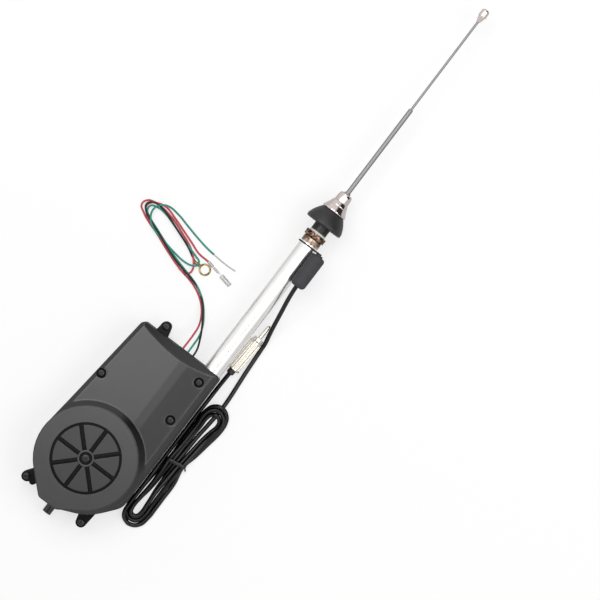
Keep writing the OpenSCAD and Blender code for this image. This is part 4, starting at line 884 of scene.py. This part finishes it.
class AERIAL_OT_chrome(bpy.types.Operator):
    """Finish the chromed cone, top nut and tip button"""
    bl_idname = "aerial.chrome"
    bl_label = "Chromed pieces"

    def execute(self, context):
        dress(chromed_brass(colours().chrome), "chrome_cone", "top_nut", "tip_button")
        return {"FINISHED"}


class AERIAL_OT_wing_stack(bpy.types.Operator):
    """Finish the pieces that clamp the aerial through the car's wing"""
    bl_idname = "aerial.wing_stack"
    bl_label = "Wing fixing"

    def execute(self, context):
        dress(moulded_white_nylon(linear("#e9e6e2")), "plain_washer")
        dress(turned_brass("brass_turned_dull", linear("#bfae9c"), linear("#6b5746")),
              "threaded_neck")
        dress(coppered_steel(linear("#6a5244"), linear("#20140d"), linear("#a88f7e")),
              "claw_washer")
        dress(shared_finish(moulded_black_plastic, BLACK_PLASTIC), "ribbed_collar")
        dress(moulded_rubber("epdm_moulded_pad", colours().rubber, 0.46, linear("#2b2b2c")),
              "wing_pad")
        return {"FINISHED"}


class AERIAL_OT_plug(bpy.types.Operator):
    """Finish the coax's boot, its socket and the plug"""
    bl_idname = "aerial.plug"
    bl_label = "Boot and plug"

    def execute(self, context):
        dress(moulded_rubber("epdm_moulded_boot", colours().boot, 0.72, linear("#48474a")),
              "coax_boot")
        dress(nickel_plate(linear("#e4dfd5")), "plug_barrel", "plug_pin")
        dress(shared_finish(blackened_steel, BLACKENED_STEEL), "plug_ferrule", "coax_socket")
        return {"FINISHED"}


class AERIAL_OT_drive(bpy.types.Operator):
    """Finish the motor, the gear, the reel, the board and the insulators that don't show"""
    bl_idname = "aerial.drive"
    bl_label = "Drive"

    def execute(self, context):
        dress(moulded_white_nylon(linear("#ece6d6")), "cord_reel", "worm_wheel", "wound_cord",
              "drive_cord", "lower_insulator", "upper_insulator", "plug_insulator")
        dress(ground_steel(linear("#a9a9ab")), "motor_can", "motor_shaft", "reel_pin",
              "armature_core", "fixed_tube")
        dress(turned_brass("brass_turned_bright", linear("#c9a94e"), linear("#9c8138")), "worm")
        dress(enamelled_winding(linear("#b0622c")), "armature_windings", "commutator")
        dress(sintered_ferrite(linear("#38383c")), "motor_magnets", "brushes")
        dress(glass_epoxy_board(linear("#2e6b3a")), "control_board")
        dress(shared_finish(moulded_black_plastic, BLACK_PLASTIC), "tube_clamp",
              "motor_end_cap", "relays")
        return {"FINISHED"}


class AERIAL_PT_panel(bpy.types.Panel):
    """Sidebar panel with the aerial's sizes, colours and steps"""
    bl_idname = "AERIAL_PT_panel"
    bl_label = "Mast aerial"
    bl_space_type = "VIEW_3D"
    bl_region_type = "UI"
    bl_category = "Aerial"

    def draw(self, context):
        for group in (sizes(), colours()):
            for name in group.__annotations__:
                self.layout.prop(group, name)
        for step in STEPS:
            self.layout.operator(step.bl_idname)


STEPS = (
    AERIAL_OT_stage, AERIAL_OT_coax, AERIAL_OT_wires, AERIAL_OT_housing, AERIAL_OT_screws,
    AERIAL_OT_tubes, AERIAL_OT_chrome, AERIAL_OT_wing_stack, AERIAL_OT_plug, AERIAL_OT_drive,
)
CLASSES = (AerialSizes, AerialColours, *STEPS, AERIAL_PT_panel)


def register():
    for kind in CLASSES:
        bpy.utils.register_class(kind)
    bpy.types.Scene.aerial_sizes = bpy.props.PointerProperty(type=AerialSizes)
    bpy.types.Scene.aerial_colours = bpy.props.PointerProperty(type=AerialColours)


def unregister():
    del bpy.types.Scene.aerial_sizes
    del bpy.types.Scene.aerial_colours
    for kind in reversed(CLASSES):
        bpy.utils.unregister_class(kind)


def main():
    """Build the scene step by step."""
    register()
    bpy.ops.aerial.stage()
    bpy.ops.aerial.coax()
    bpy.ops.aerial.wires()
    bpy.ops.aerial.housing()
    bpy.ops.aerial.screws()
    bpy.ops.aerial.tubes()
    bpy.ops.aerial.chrome()
    bpy.ops.aerial.wing_stack()
    bpy.ops.aerial.plug()
    bpy.ops.aerial.drive()


if __name__ == "__main__":
    main()
